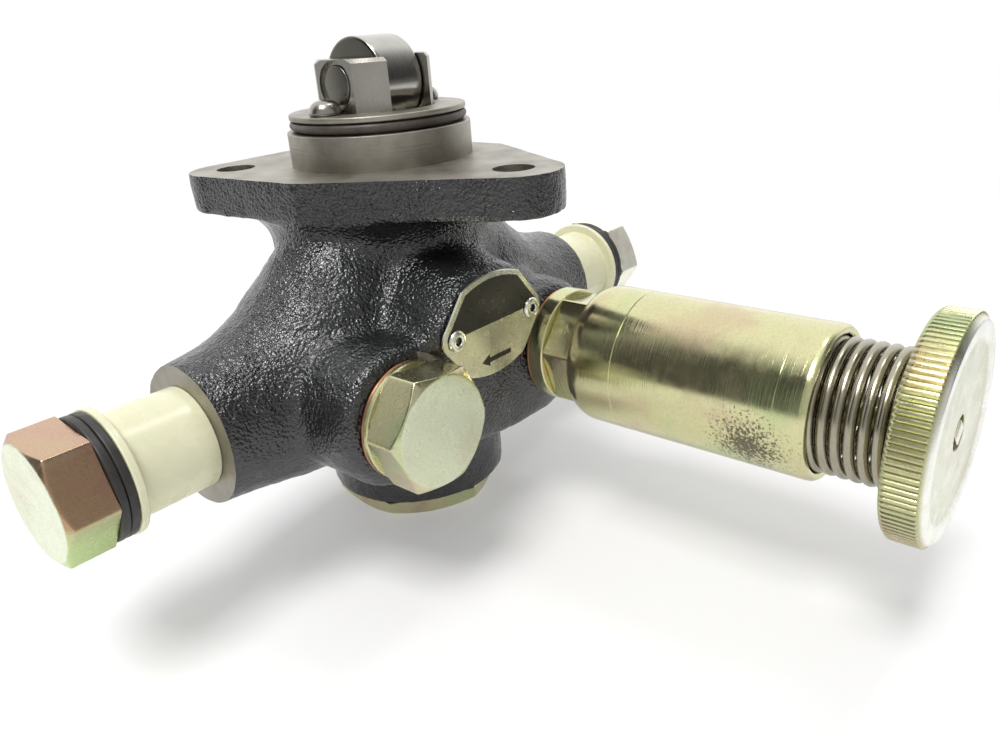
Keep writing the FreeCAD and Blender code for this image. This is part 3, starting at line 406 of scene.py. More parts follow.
def zinc_material(name, pale, warm, green, rough, tint, axis=None, bands=None, cap=None, wear=None):
    """Yellow passivated zinc whose tint drifts between straw, rose and green.

    axis gives turned marks; bands is (height of the axis, tints by height above it) for a hexagon
    whose flats took different tints; cap is (axis, start, end, tint) for an end face; wear is
    (place, reach) of a stain.
    """
    s = Shader(name)
    drift = s.noise(60, 3.0, 0.5, warp=0.8)
    second = s.noise(95, 4.0, 0.55, s.scaled(1.0, 0.6, 1.4), warp=0.5)
    color = s.ramp(drift, (0.34, warm), (0.47, pale), (0.56, pale), (0.68, green))
    rosy = s.ramp(second, (0.52, 0.0), (0.68, tint))
    color = s.mix(rosy, color, warm)
    sides = dict(zip("xyz", s.axes()))
    if bands:
        middle, tints = bands
        half = 14.0
        height = s.math("DIVIDE", s.math("SUBTRACT", sides["z"], (middle - half) * MM), 2 * half * MM)
        height = s.math("ADD", height, s.math("MULTIPLY", s.math("SUBTRACT", drift, 0.5), 0.05))
        stops = [((h + half) / (2 * half), shade) for h, shade in tints]
        color = s.mix(0.8, color, s.ramp(height, *stops))
    if cap:
        along, start, end, end_tint = cap
        span = s.math("DIVIDE", s.math("SUBTRACT", sides[along], start * MM), (end - start) * MM)
        mottled = s.mix(s.ramp(second, (0.45, 0.0), (0.7, 0.3)), end_tint, color)
        color = s.mix(s.ramp(span, (0.0, 0.0), (1.0, 1.0)), color, mottled)
    fine = s.noise(2100, 4.0, 0.65)
    color = s.mix(s.ramp(fine, (0.45, 0.0), (0.75, 0.35)), color, s.mix(0.4, color, (0.0, 0.0, 0.0)))
    if wear:
        place, reach = wear
        away = s.node("VectorMath", Vector=s.place)
        away.operation = "DISTANCE"
        away.inputs[1].default_value = tuple(v * MM for v in place)
        near = s.ramp(away.outputs["Value"], (0.0, 1.0), (reach * MM, 0.0))
        specks = s.math("ADD", s.math("MULTIPLY", near, 0.26), s.noise(1500, 6.0, 0.75))
        specks = s.ramp(specks, (0.64, 0.0), (0.68, 0.85))
        color = s.mix(specks, color, (0.07, 0.055, 0.05))
    s.put("Base Color", color)
    s.put("Metallic", 0.96)
    s.put("Roughness", s.ramp(s.noise(340, 4.0, 0.6), (0.3, rough * 0.75), (0.75, rough * 1.5)))
    if axis:
        stretch = {"x": (1.0, 0.03, 0.03), "y": (0.03, 1.0, 0.03), "z": (0.03, 0.03, 1.0)}[axis]
        s.bump(s.noise(3600, 2.0, 0.5, s.scaled(*stretch)), 0.00005, 0.55)
    else:
        s.bump(fine, 0.00004, 0.5)
    return s.mat


def sleeve_material():
    """Cream nylon that lets a little light in."""
    s = Shader("cream_nylon")
    cloud = s.noise(90, 3.0, 0.5)
    s.put("Base Color", s.ramp(cloud, (0.3, (0.74, 0.73, 0.50)), (0.7, (0.82, 0.81, 0.60))))
    s.put("Roughness", s.ramp(s.noise(160, 3.0), (0.3, 0.2), (0.7, 0.34)))
    s.put("Subsurface Weight", 0.35)
    s.put("Subsurface Radius", (0.004, 0.0035, 0.002))
    s.bump(s.noise(800, 2.0), 0.00003, 0.4)
    return s.mat


def rubber_material(name, low, high):
    """Slightly worn black rubber."""
    s = Shader(name)
    s.put("Base Color", s.ramp(s.noise(300, 3.0), (0.3, low), (0.7, high)))
    s.put("Roughness", s.ramp(s.noise(700, 3.0), (0.3, 0.38), (0.7, 0.55)))
    s.bump(s.noise(1800, 3.0), 0.00005, 0.5)
    return s.mat


def copper_material():
    s = Shader("copper")
    s.put("Base Color", s.ramp(s.noise(260, 4.0), (0.3, (0.42, 0.18, 0.09)), (0.7, (0.64, 0.33, 0.19))))
    s.put("Metallic", 1.0)
    s.put("Roughness", s.ramp(s.noise(500, 3.0), (0.3, 0.28), (0.7, 0.45)))
    s.bump(s.noise(1500, 3.0), 0.00004, 0.5)
    return s.mat


def plate_material(name, color, low, metallic, rough):
    s = Shader(name)
    s.put("Base Color", s.ramp(s.noise(240, 5.0, 0.65), (0.3, low), (0.7, color)))
    s.put("Metallic", metallic)
    s.put("Roughness", s.ramp(s.noise(700, 4.0, 0.6), (0.3, rough * 0.8), (0.75, rough * 1.3)))
    s.bump(s.noise(2600, 3.0), 0.00003, 0.5)
    return s.mat


def floor_material():
    """White paper that keeps the object's shadow near it and fades to plain white further away.

    What a reflection sees of it far away is graded by direction, as the room in the world is.
    """
    s = Shader("floor_paper")
    paper = s.ramp(s.noise(6, 2.0), (0.3, (0.93, 0.925, 0.93)), (0.7, (0.95, 0.945, 0.95)))
    s.put("Base Color", paper)
    s.put("Roughness", 0.6)
    s.put("Specular IOR Level", 0.2)
    x, y, _ = s.axes()
    radius = s.hypot(x, y)
    far = s.ramp(radius, (0.0, 0.3), (0.15, 0.3), (0.45, 1.0))
    ahead = s.math("ADD", s.math("MULTIPLY", x, 0.64), s.math("MULTIPLY", y, 0.77))
    ahead = s.math("DIVIDE", ahead, s.math("MAXIMUM", radius, 0.5))
    shade = s.ramp(s.math("ADD", s.math("MULTIPLY", ahead, 0.5), 0.5),
                   (0.0, 0.75), (0.22, 0.60), (0.34, 0.16), (0.46, 0.14), (0.56, 0.40), (0.66, 1.0))
    shade = s.mix(s.ramp(radius, (0.35, 0.0), (0.7, 1.0)), (1.0, 1.0, 1.0), shade)
    glow = s.node("Emission", Color=shade, Strength=1.0)
    blend = s.node("MixShader", Fac=s.math("MULTIPLY", far, s.seen()))
    s.link(s.bsdf.outputs[0], blend.inputs[1])
    s.link(glow.outputs[0], blend.inputs[2])
    s.link(blend.outputs[0], s.tree.nodes["Material Output"].inputs["Surface"])
    return s.mat


PALE = (0.62, 0.60, 0.36)
ROSE = (0.60, 0.44, 0.36)
GREEN = (0.50, 0.62, 0.35)
OLIVE = (0.48, 0.50, 0.26)
BROWN = (0.44, 0.235, 0.145)
PINK = (0.52, 0.33, 0.23)
LEAF = (0.52, 0.69, 0.27)
MINT = (0.78, 0.83, 0.63)
black = enamel_material()
machined = machined_material()
steel = steel_material("ground_steel", (0.36, 0.345, 0.31), 0.27, "z")
tappet_steel = steel_material("tappet_steel", (0.38, 0.365, 0.325), 0.3, "up")
# The roller's and the axle's end faces are painted darker as shade.
bright_steel = steel_material("roller_steel", (0.50, 0.49, 0.45), 0.17, "x", 5.35)
pin_steel = steel_material("roller_pin_steel", (0.40, 0.39, 0.35), 0.3, "x", 9.9)
wire_steel = steel_material("spring_wire", (0.40, 0.37, 0.29), 0.24, "y")
zinc = zinc_material(
    "zinc_plugs", PALE, (0.56, 0.46, 0.33), GREEN, 0.22, 0.35,
    cap=("y", -OUTLET_FACE - 9.9, -OUTLET_FACE - 10.0, (0.66, 0.70, 0.52)))
zinc_outlet = zinc_material(
    "zinc_outlet_bolt", PALE, ROSE, GREEN, 0.24, 0.5,
    bands=(PORT_Z, [(-6.0, LEAF), (-1.8, OLIVE), (-0.6, BROWN), (8.5, BROWN), (10.2, PINK),
                    (12.0, PINK)]),
    cap=("x", PORT_LEFT - BOLT_END + 0.2, PORT_LEFT - BOLT_END + 0.05, MINT))
# Painted highlight: the inlet bolt has the same yellow zinc as the outlet bolt, but its tints, end face
# included, are made far paler to paint in the glare that whitens it.
zinc_inlet_glare = zinc_material(
    "zinc_inlet_bolt", (0.90, 0.90, 0.78), (0.88, 0.78, 0.68), (0.80, 0.90, 0.72), 0.42, 0.4,
    cap=("x", PORT_RIGHT + BOLT_END - 0.2, PORT_RIGHT + BOLT_END - 0.05, MINT))
zinc_turned = zinc_material(
    "zinc_turned", (0.63, 0.61, 0.35), (0.60, 0.51, 0.32), (0.54, 0.60, 0.31), 0.17, 0.2, "y",
    wear=STAIN)
zinc_knob = zinc_material(
    "zinc_knob", (0.52, 0.52, 0.30), (0.50, 0.44, 0.27), (0.46, 0.52, 0.27), 0.3, 0.15,
    cap=("y", KNOB_FACE_Y + 0.85, KNOB_FACE_Y + 0.25, (0.95, 0.96, 0.90)))
cream = sleeve_material()
rubber = rubber_material("black_rubber", (0.016, 0.015, 0.014), (0.034, 0.032, 0.03))
old_rubber = rubber_material("brown_rubber", (0.045, 0.036, 0.028), (0.085, 0.07, 0.055))
copper = copper_material()
plate_silver = plate_material("plate_aluminium", (0.84, 0.84, 0.72), (0.62, 0.62, 0.52), 0.85, 0.24)
# Black print of the plate, also used as painted shade inside the rivets' hollows.
plate_print_and_hole_shade = plate_material("plate_enamel_and_hole_shade", (0.022, 0.022, 0.022), (0.012, 0.012, 0.012), 0.0, 0.3)


# Cast housing


def box_object(name, low, high):
    x0, y0, z0 = low
    x1, y1, z1 = high
    points = [(x, y, z) for x in (x0, x1) for y in (y0, y1) for z in (z0, z1)]
    faces = [(0, 1, 3, 2), (4, 6, 7, 5), (0, 4, 5, 1), (2, 3, 7, 6), (0, 2, 6, 4), (1, 5, 7, 3)]
    return mesh_object(name, points, faces)


def rod_objects(rows):
    """Plain rods, each from (radius, length, origin, direction)."""
    rods = []
    for radius, length, origin, along in rows:
        rings = [(0.0, 0.0), (radius, 0.0), (radius, length), (0.0, length)]
        sides = 24 if radius < 2.0 else 96
        rods.append(rings_to_mesh("rod", rings, spread(sides), origin, along))
    return rods


def apply_modifiers(obj):
    """Bakes an object's modifiers into its mesh."""
    graph = bpy.context.evaluated_depsgraph_get()
    mesh = bpy.data.meshes.new_from_object(obj.evaluated_get(graph))
    old = obj.data
    obj.modifiers.clear()
    obj.data = mesh
    bpy.data.meshes.remove(old)
    return obj


def join_meshes(name, objects):
    """One mesh holding several, which are removed."""
    points, faces = [], []
    for obj in objects:
        start = len(points)
        matrix = obj.matrix_world
        points += [tuple(matrix @ v.co / MM) for v in obj.data.vertices]
        faces += [tuple(start + i for i in p.vertices) for p in obj.data.polygons]
    joined = mesh_object(name, points, faces)
    for obj in objects:
        bpy.data.objects.remove(obj)
    return joined


def flip_outward(obj):
    """Turns every face's normal to the outside."""
    work = bmesh.new()
    work.from_mesh(obj.data)
    bmesh.ops.recalc_face_normals(work, faces=work.faces)
    work.to_mesh(obj.data)
    work.free()


def raw_casting():
    """The CAD housing with its holes filled and its machined faces built up, as it leaves the mould."""
    node = frame["nodes"]["pump_housing"]
    copy = bpy.data.objects.new("raw_copy", node.data.copy())
    bpy.context.scene.collection.objects.link(copy)
    copy.matrix_world = node.matrix_world
    # Tappet, rod and piston bores, plug seat, ports, valve chambers, then the flange's holes.
    rows = [
        (14.0, 27.0, (0, 0, 2.0), "-z"),
        (5.0, 34.0, (0, 0, -16.0), "-z"),
        (16.5, 33.0, (0, 0, -46.0), "-z"),
        (21.3, 2.5, (0, 0, -76.5), "-z"),
        (14.2, 20.0, (PORT_LEFT - 1.5, PORT_Y, PORT_Z), "x"),
        (14.2, 20.0, (PORT_RIGHT + 1.5, PORT_Y, PORT_Z), "-x"),
        (6.0, 40.0, (PORT_RIGHT - 2, PORT_Y, PORT_Z), "-x"),
        (12.0, 32.0, (OUTLET_X, -2.4, OUTLET_Z), "-y"),
        (12.0, 34.2, (INLET_X, -2.4, INLET_Z), "-y"),
    ]
    rows += [(6.0, 9.0, (x, y, 0.6), "-z") for x, y in FLANGE_HOLES]
    raw = join_meshes("housing_casting", [copy] + rod_objects(rows))
    flip_outward(raw)
    remesh = raw.modifiers.new("remesh", "REMESH")
    remesh.mode = "VOXEL"
    remesh.voxel_size = 0.8 * MM
    return apply_modifiers(raw)


def relax(points, edges, weight, rounds):
    """Moves each point towards the mean of its neighbours, by its weight."""
    step = 0.5
    count = len(points)
    degree = np.zeros(count)
    np.add.at(degree, edges[:, 0], 1)
    np.add.at(degree, edges[:, 1], 1)
    degree = np.maximum(degree, 1)[:, None]
    for _ in range(rounds):
        total = np.zeros_like(points)
        np.add.at(total, edges[:, 0], points[edges[:, 1]])
        np.add.at(total, edges[:, 1], points[edges[:, 0]])
        points += (total / degree - points) * (step * weight)[:, None]
    return points


def soften(obj):
    """Rounds the casting's corners and roughens its skin.

    The flange, the ends of the ports and the bottom rim keep their edges. The flange's top is
    raised by what its cut takes off, and the skin stays inside the node's box.
    """
    mesh = obj.data
    points = np.empty(len(mesh.vertices) * 3)
    mesh.vertices.foreach_get("co", points)
    points = points.reshape(-1, 3) / MM
    edges = np.empty(len(mesh.edges) * 2, dtype=np.int64)
    mesh.edges.foreach_get("vertices", edges)
    edges = edges.reshape(-1, 2)
    z = points[:, 2]
    points[:, 2] += CUT_ALLOWANCE * np.clip((z + 1.2) / 0.8, 0, 1)
    ends = np.minimum(points[:, 0] - PORT_LEFT, PORT_RIGHT - points[:, 0])
    low = np.clip((-8.9 - z) / 1.5, 0, 1)
    bottom = np.clip((z + BODY_BOTTOM - 1.5) / 3.0, 0, 1)
    near_port = np.clip((ends - 1.0) / 3.0, 0, 1)
    weight = low * bottom * near_port
    points = relax(points, edges, 0.25 + 0.75 * weight, 5)
    points = relax(points, edges, weight, 34)
    mesh.vertices.foreach_set("co", (points * MM).ravel())
    mesh.update()
    normals = np.empty(len(points) * 3)
    mesh.vertices.foreach_get("normal", normals)
    normals = normals.reshape(-1, 3)
    lift = np.empty(len(points))
    for i, (x, y, h) in enumerate(points):
        large = noise.noise(Vector((x, y, h)) * 0.16)
        small = noise.noise(Vector((x, y, h)) * 0.55)
        lift[i] = 0.22 * large + 0.13 * small - 0.10
    points += normals * lift[:, None]
    points[:, 1] = np.clip(points[:, 1], -48.95, 33.75)
    mesh.vertices.foreach_set("co", (points * MM).ravel())
    mesh.update()


def machine(obj):
    """Cuts the machined faces and bores into the casting."""
    tools = [
        box_object("cut_top", (-90, -90, 0), (90, 90, 30)),
        box_object("cut_left", (-95, -60, -90), (PORT_LEFT, 60, 20)),
        box_object("cut_right", (PORT_RIGHT, -60, -90), (95, 60, 20)),
        box_object("cut_bottom", (-90, -60, -110), (90, 60, -BODY_BOTTOM)),
        box_object("cut_plate", (-26, -70, -75), (30, -PLATE_FACE, -12)),
    ]
    # Spot faces, tappet and piston bores, ports, then threads and valve chambers.
    rows = [
        (OUTLET_SPOT, 12.0, (OUTLET_X, -OUTLET_FACE, OUTLET_Z), "-y"),
        (INLET_SPOT, 12.0, (INLET_X, -INLET_FACE, INLET_Z), "-y"),
        (12.35, 16.0, (0, 0, 1.0), "-z"),
        (3.55, 60.0, (0, 0, 0), "-z"),
        (11.05, 35.0, (0, 0, -47.5), "-z"),
        (15.05, 14.0, (0, 0, -66.0), "-z"),
        (8.0, 30.0, (PORT_LEFT - 15, PORT_Y, PORT_Z), "x"),
        (8.0, 30.0, (PORT_RIGHT + 15, PORT_Y, PORT_Z), "-x"),
        (10.0, 14.0, (OUTLET_X, 10 - OUTLET_FACE, OUTLET_Z), "-y"),
        (10.0, 14.0, (INLET_X, 10 - INLET_FACE, INLET_Z), "-y"),
        (7.5, 26.0, (OUTLET_X, -14, OUTLET_Z), "-y"),
        (7.5, 26.0, (INLET_X, -14, INLET_Z), "-y"),
    ]
    rows += [(HOLE_RADIUS, 14.0, (x, y, 1.0), "-z") for x, y in FLANGE_HOLES]
    rows += [(1.25, 6.0, (PLATE_X + RIVET_HALF * side, -33.6, PLATE_Z), "-y") for side in (-1, 1)]
    tools += rod_objects(rows)
    for tool in tools:
        flip_outward(tool)
        cut = obj.modifiers.new("cut", "BOOLEAN")
        cut.operation = "DIFFERENCE"
        cut.solver = "MANIFOLD"
        cut.object = tool
    apply_modifiers(obj)
    for tool in tools:
        bpy.data.objects.remove(tool)


def pilot_mesh():
    """Turned boss with the groove of the sealing ring."""
    inner, outer, groove, lip = 12.35, 20.0, 17.4, 19.2
    outline = [
        (inner, -0.6), (outer, -0.6), (outer, PILOT_TOP), (groove, PILOT_TOP),
        (groove, GROOVE_TOP), (lip, GROOVE_TOP), (lip, LIP_TOP), (inner, LIP_TOP),
    ]
    return lathe("pilot_boss", outline, (0, 0, 0), "z", 0.3, True, 192)


def is_machined(x, y, z, nx, ny, nz):
    """Whether a face of the casting, by its centre and normal, lies on a machined surface."""
    near = 0.02
    if z > -near and nz > 0.9:
        return True
    if (x < PORT_LEFT + near and nx < -0.9) or (x > PORT_RIGHT - near and nx > 0.9):
        return True
    if z < -BODY_BOTTOM + near and nz < -0.9:
        return True
    spots = ((OUTLET_X, OUTLET_Z, OUTLET_FACE, OUTLET_SPOT), (INLET_X, INLET_Z, INLET_FACE, INLET_SPOT))
    for cx, cz, face, radius in spots:
        if math.hypot(x - cx, z - cz) < radius + 0.05 and y < near - face:
            return True
    for hx, hy in FLANGE_HOLES:
        if math.hypot(x - hx, y - hy) < HOLE_RADIUS + 0.05 and z > -9:
            return True
    return math.hypot(x, y) < 12.5


def make_housing():
    """The casting and its turned boss as one mesh, enamelled except where it is machined."""
    casting = raw_casting()
    soften(casting)
    machine(casting)
    boss = pilot_mesh()
    boss_faces = len(boss.data.polygons)
    joined = join_meshes("housing_cast", [casting, boss])
    setting(joined, [black, machined], 38)
    total = len(joined.data.polygons)
    slots = np.ones(total, dtype=np.int32)
    for i, face in enumerate(joined.data.polygons[:total - boss_faces]):
        c, n = face.center / MM, face.normal
        slots[i] = int(is_machined(*c, *n))
    joined.data.polygons.foreach_set("material_index", slots)
    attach(joined, "pump")
    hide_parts("pump_housing")


def finish_piece(obj, mats, node, body="pump", sharp=35.0):
    """Shades a piece, and sets it on its body in the place of its CAD node."""
    flip_outward(obj)
    setting(obj, mats, sharp)
    weigh = obj.modifiers.new("weigh", "WEIGHTED_NORMAL")
    weigh.keep_sharp = True
    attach(obj, body)
    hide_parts(node)


# Ports


def make_ports():
    """At each port a hollow bolt, the plastic sleeve that holds it and two sealing washers."""
    ports = (
        ("outlet", PORT_LEFT, "-x", 24.0, zinc_outlet),
        ("inlet", PORT_RIGHT, "x", -24.0, zinc_inlet_glare),
    )
    for side, x, along, turn, plating in ports:
        origin = (x, PORT_Y, PORT_Z)
        rings = [(0.0, -14.0), (4.5, -14.0), (6.75, -14.0), (7.75, -13.0), (7.75, BOLT_SEAT - 0.1)]
        rings += hex_rings(HEX_FLATS, turn, BOLT_SEAT, BOLT_END, HEX_BEVEL)
        bolt = rings_to_mesh("banjo_bolt_" + side, rings, hex_angles(turn), origin, along)
        finish_piece(bolt, [plating], "banjo_bolts")

        rim = SLEEVE_LENGTH - 1.5
        outline = [(8.05, 0.0), (10.2, 0.0), (10.2, rim), (SLEEVE_RIM, rim), (SLEEVE_RIM, SLEEVE_LENGTH),
                   (8.05, SLEEVE_LENGTH)]
        sleeve = lathe("port_sleeve_" + side, outline, origin, along, 0.35)
        finish_piece(sleeve, [cream], "port_sleeves")
        for k in range(2):
            low = SLEEVE_LENGTH + SEAT_GAP + (WASHER_THICK + SEAT_GAP) * k
            high = low + WASHER_THICK
            outline = [(7.95, low), (12.0, low), (12.0, high), (7.95, high)]
            washer = lathe("port_washer_" + side + "_" + str(k + 1), outline, origin, along, 0.45)
            finish_piece(washer, [rubber], "port_washers")


# Plugs


def ring_outline(inner, outer, thick):
    return [(inner, 0), (outer, 0), (outer, thick), (inner, thick)]


def make_plugs():
    """Valve plug on the front boss and the large plug under the piston, each over a copper ring."""
    origin = (OUTLET_X, -OUTLET_FACE, OUTLET_Z)
    rings = [(0.0, -9.4), (8.75, -9.4), (9.75, -8.4), (9.75, 0.55)]
    rings += [(11.5, 0.55), (11.7, 0.75), (11.7, 1.5), (11.5, 1.75)]
    rings += hex_rings(HEX_FLATS, 54.0, 1.8, 10.0, HEX_BEVEL, COLLAR_RADIUS)
    plug = rings_to_mesh("outlet_valve_plug_hex", rings, hex_angles(54.0), origin, "-y")
    finish_piece(plug, [zinc], "outlet_valve_plug")
    gasket = lathe("outlet_gasket_ring", ring_outline(10.1, 11.7, GASKET_THICK), origin, "-y", 0.15)
    finish_piece(gasket, [copper], "outlet_valve_gasket")

    origin = (0, 0, -BODY_BOTTOM)
    rings = [(0.0, -2.2), (8.3, -2.2), (8.3, -10.5), (13.8, -10.5), (14.8, -9.5), (14.8, 0.95)]
    rings += hex_rings(PLUG_FLATS, 35.0, 1.0, 5.3, PLUG_BEVEL)
    plug = rings_to_mesh("piston_plug_hex", rings, hex_angles(35.0), origin, "-z")
    finish_piece(plug, [zinc], "piston_plug")
    gasket = lathe("piston_gasket_ring", ring_outline(15.05, 18.0, 1.0), origin, "-z", 0.3)
    finish_piece(gasket, [copper], "piston_plug_gasket")


# Hand primer


def make_primer():
    """Barrel with its inner cylinder, the cap that guides the rod, and the knob."""
    origin = (INLET_X, -INLET_FACE, INLET_Z)
    gasket = lathe("primer_gasket_ring", ring_outline(10.1, 12.2, GASKET_THICK), origin, "-y", 0.15)
    finish_piece(gasket, [copper], "primer_gasket")

    side = hex_radius(HEX_FLATS, 50.0, 60)
    outer, bore, deep, inner = BARREL_RADIUS, BARREL_BORE, BARREL_FLOOR, CYLINDER_BORE
    seam, line = BARREL_SEAM, BARREL_LINE
    rings = [(1.55, -9.4), (8.75, -9.4), (9.75, -8.4), (9.75, 0.55)]
    rings += [(12.2, 0.55), (12.5, 0.85), (12.5, 4.1), (12.3, 4.4)]
    rings += [(lambda a: side(a) - 0.3, 4.42), (side, 4.7), (side, 10.9)]
    rings += [(12.6, 11.1), (13.4, 11.6), (14.1, 12.4), (14.55, 13.4), (14.8, 14.4), (outer, 15.2)]
    rings += [(outer, seam - 0.12), (outer - 0.1, seam), (outer, seam + 0.12)]
    rings += [(outer, line), (outer - 0.05, line + 0.15)]
    rings += [(outer - 0.05, line + 0.5), (outer, line + 0.65)]
    rings += [(outer, 60.9), (14.74, 61.7), (14.35, 62.25), (13.9, 62.4), (13.3, 62.3), (bore, 62.0)]
    rings += [(bore, deep), (9.9, deep), (9.9, 55.9), (9.8, 56.0), (inner + 0.1, 56.0), (inner, 55.9)]
    rings += [(inner, 11.0), (1.55, 11.0)]
    barrel = rings_to_mesh("primer_barrel_turned", rings, hex_angles(50.0), origin, "-y", True)
    finish_piece(barrel, [zinc_turned], "primer_barrel", sharp=30)

    outline = [(3.05, 52.5), (7.95, 52.5), (7.95, 56.0), (9.9, 56.0), (9.9, 58.0), (3.05, 58.0)]
    guide = lathe("primer_guide_cap", outline, origin, "-y", 0.3)
    finish_piece(guide, [zinc_turned], "primer_guide")
    make_knob(origin)


def spring_mesh(name, origin, along, start, end, coils, mean, wire, close_rate=1.0, close_coils=0.0):
    """Round wire spring whose end coils close up and are ground flat; the last coils may lie closer."""
    steps, sides = 48, 14
    total = int(coils * steps)
    rates = []
    for i in range(total):
        turn = min(i, total - i) / steps
        rates.append(0.72 if turn < 1.0 else close_rate if i > total - close_coils * steps else 1.0)
    scale = (end - start - wire * 1.5) / sum(rates)
    height = start + wire * 0.75
    points, faces = [], []
    for i in range(total + 1):
        angle = 2 * math.pi * i / steps
        for k in range(sides):
            a = 2 * math.pi * k / sides
            r = mean + wire * math.cos(a)
            h = min(max(height + wire * math.sin(a), start), end)
            points.append((r * math.cos(angle), r * math.sin(angle), h))
        if i < total:
            height += rates[i] * scale
    for i in range(total):
        for k in range(sides):
            n = (k + 1) % sides
            faces.append((i * sides + k, i * sides + n, (i + 1) * sides + n, (i + 1) * sides + k))
    faces.append(tuple(range(sides)))
    faces.append(tuple(total * sides + k for k in reversed(range(sides))))
    return mesh_object(name, points, faces, origin, along)


def make_springs():
    """Springs of the primer, the piston and both valves, each wound between its seats."""
    start, end = BARREL_FLOOR + SEAT_GAP, KNOB_START - SEAT_GAP
    origin = (INLET_X, -INLET_FACE, INLET_Z)
    spring = spring_mesh("primer_spring_wire", origin, "-y", start, end, 20.5, 11.85, 1.0, 0.84, 6.5)
    finish_piece(spring, [wire_steel], "primer_spring", sharp=60)
    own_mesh(spring)

    seat, length = -74.75, 23.5
    spring = spring_mesh("piston_spring_wire", (0, 0, seat), "z", 0.0, length, 7.0, 6.85, 0.9)
    finish_piece(spring, [wire_steel], "piston_spring", sharp=60)
    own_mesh(spring)

    valves = (("outlet", OUTLET_X, OUTLET_Z, -24.95), ("inlet", INLET_X, INLET_Z, -27.15))
    for side, x, z, seat in valves:
        length = VALVE_SEAT - seat
        name = side + "_valve_spring_wire"
        spring = spring_mesh(name, (x, seat, z), "y", 0.0, length, 5.5, 3.15, 0.35)
        finish_piece(spring, [wire_steel], side + "_valve_spring", sharp=60)
        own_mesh(spring)


def make_knob(origin):
    """Knurled knob: sharp straight teeth round the rim, a shallow turned dish in its face."""
    depth, points_per_tooth = 0.45, 8
    start, end = KNOB_START, KNOB_END

    def tooth(angle):
        phase = (angle * KNOB_TEETH / (2 * math.pi)) % 1.0
        return min(1.0, abs(phase - 0.5) * 2 * 1.9)

    def rim(inset, keep=1.0):
        return lambda angle: KNOB_RADIUS - inset - depth * (1 - tooth(angle)) * keep

    rings = [(2.22, start), (19.4, start), (19.9, start + 0.1)]
    rings += [(rim(0.42, 0.4), start + 0.32), (rim(0.1), start + 0.7), (rim(0), start + 1.1)]
    rings += [(rim(0), end - 1.25), (rim(0.1, 0.9), end - 1.05), (20.1, end - 0.95), (20.0, end - 0.8)]
    rings += [(19.5, end - 0.25), (19.3, end - 0.08), (19.0, end), (17.4, end), (16.9, end - 0.04)]
    rings += [(16.2, end - 0.42), (15.8, end - 0.5), (3.4, end - 0.5), (3.2, end - 0.7)]
    rings += [(3.2, end - 1.4), (2.22, end - 1.4)]
    angles = spread(KNOB_TEETH * points_per_tooth)
    knob = rings_to_mesh("primer_knob_knurled", rings, angles, origin, "-y", True)
    finish_piece(knob, [zinc_knob], "primer_knob", "primer_plunger", 40)

    square = bar_radius(3.5, (45.0, 135.0), 40)
    rings = [(0.0, 42.8), (4.4, 42.8), (4.6, 43.0), (4.6, 44.0), (2.2, 44.0), (2.2, 52.0), (3.0, 52.0)]
    rings += [(3.0, start - 0.1), (2.2, start), (2.2, 81.9)]
    rings += [(square, 81.9), (square, 82.9), (lambda a: square(a) - 0.15, 83.05), (0.0, 83.05)]
    rod = rings_to_mesh("primer_rod_stem", rings, spread(96), origin, "-y")
    finish_piece(rod, [zinc_knob], "primer_rod", "primer_plunger")


# Tappet


def make_tappet():
    """Roller, its axle, the two guide pins and the sealing ring; the CAD tappet gets broken edges."""
    origin = (0, 0, ROLLER_Z)
    outline = [(4.05, -ROLLER_HALF), (9.3, -ROLLER_HALF), (9.3, ROLLER_HALF), (4.05, ROLLER_HALF)]
    ring = lathe("roller_wheel", outline, origin, "x", 0.7, True, 160)
    finish_piece(ring, [bright_steel], "tappet_roller", "roller")
    outline = [(0, -PIN_HALF), (PIN_RADIUS, -PIN_HALF), (PIN_RADIUS, PIN_HALF), (0, PIN_HALF)]
    pin = lathe("roller_axle", outline, origin, "x", 0.5, False, 96)
    finish_piece(pin, [pin_steel], "roller_pin", "tappet")
    for side, word in ((-1, "left"), (1, "right")):
        outline = [(0, -7.0), (1.7, -7.0), (1.7, 0.0), (3.1, 0.0), (3.4, 0.35), (3.4, 0.8),
                   (3.2, 1.6), (2.6, 2.4), (1.7, 2.9), (0.8, 3.08), (0, 3.1)]
        pin = lathe("guide_pin_" + word, outline, (14.35 * side, 0, LIP_TOP), "z", 0.6, False, 64)
        finish_piece(pin, [steel], "tappet_guide_pins")
    tappet = frame["nodes"]["tappet_body"]
    bevel = tappet.modifiers.new("edge", "BEVEL")
    bevel.width = 0.3 * MM
    bevel.segments = 2
    bevel.limit_method = "ANGLE"
    bevel.angle_limit = math.radians(40)
    middle = (PILOT_TOP + GROOVE_TOP) / 2 + 0.1
    cord = [(O_RING_RADIUS + O_RING_CORD * math.cos(a), middle + O_RING_CORD * math.sin(a))
            for a in spread(20)]
    o_ring = rings_to_mesh("o_ring_cord", cord, spread(128), (0, 0, 0), "z", True)
    finish_piece(o_ring, [old_rubber], "housing_o_ring")


# Name plate


def plate_edge():
    """Outline of the plate: bowed long edges, straight slopes and small round ends about the rivets."""
    half, high, shoulder, bow = 14.9, 10.6, 8.6, 1.7
    end = half - RIVET_HALF
    quarter = []
    for k in range(7):
        a = math.radians(52 * k / 6)
        quarter.append((RIVET_HALF + end * math.cos(a), end * math.sin(a)))
    for k in range(9):
        x = shoulder * (1 - k / 8)
        quarter.append((x, high - bow * (x / shoulder) ** 2))
    points = list(quarter)
    points += [(-x, z) for x, z in reversed(quarter[:-1])]
    points += [(-x, -z) for x, z in quarter[1:]]
    points += [(x, -z) for x, z in reversed(quarter[1:-1])]
    return points


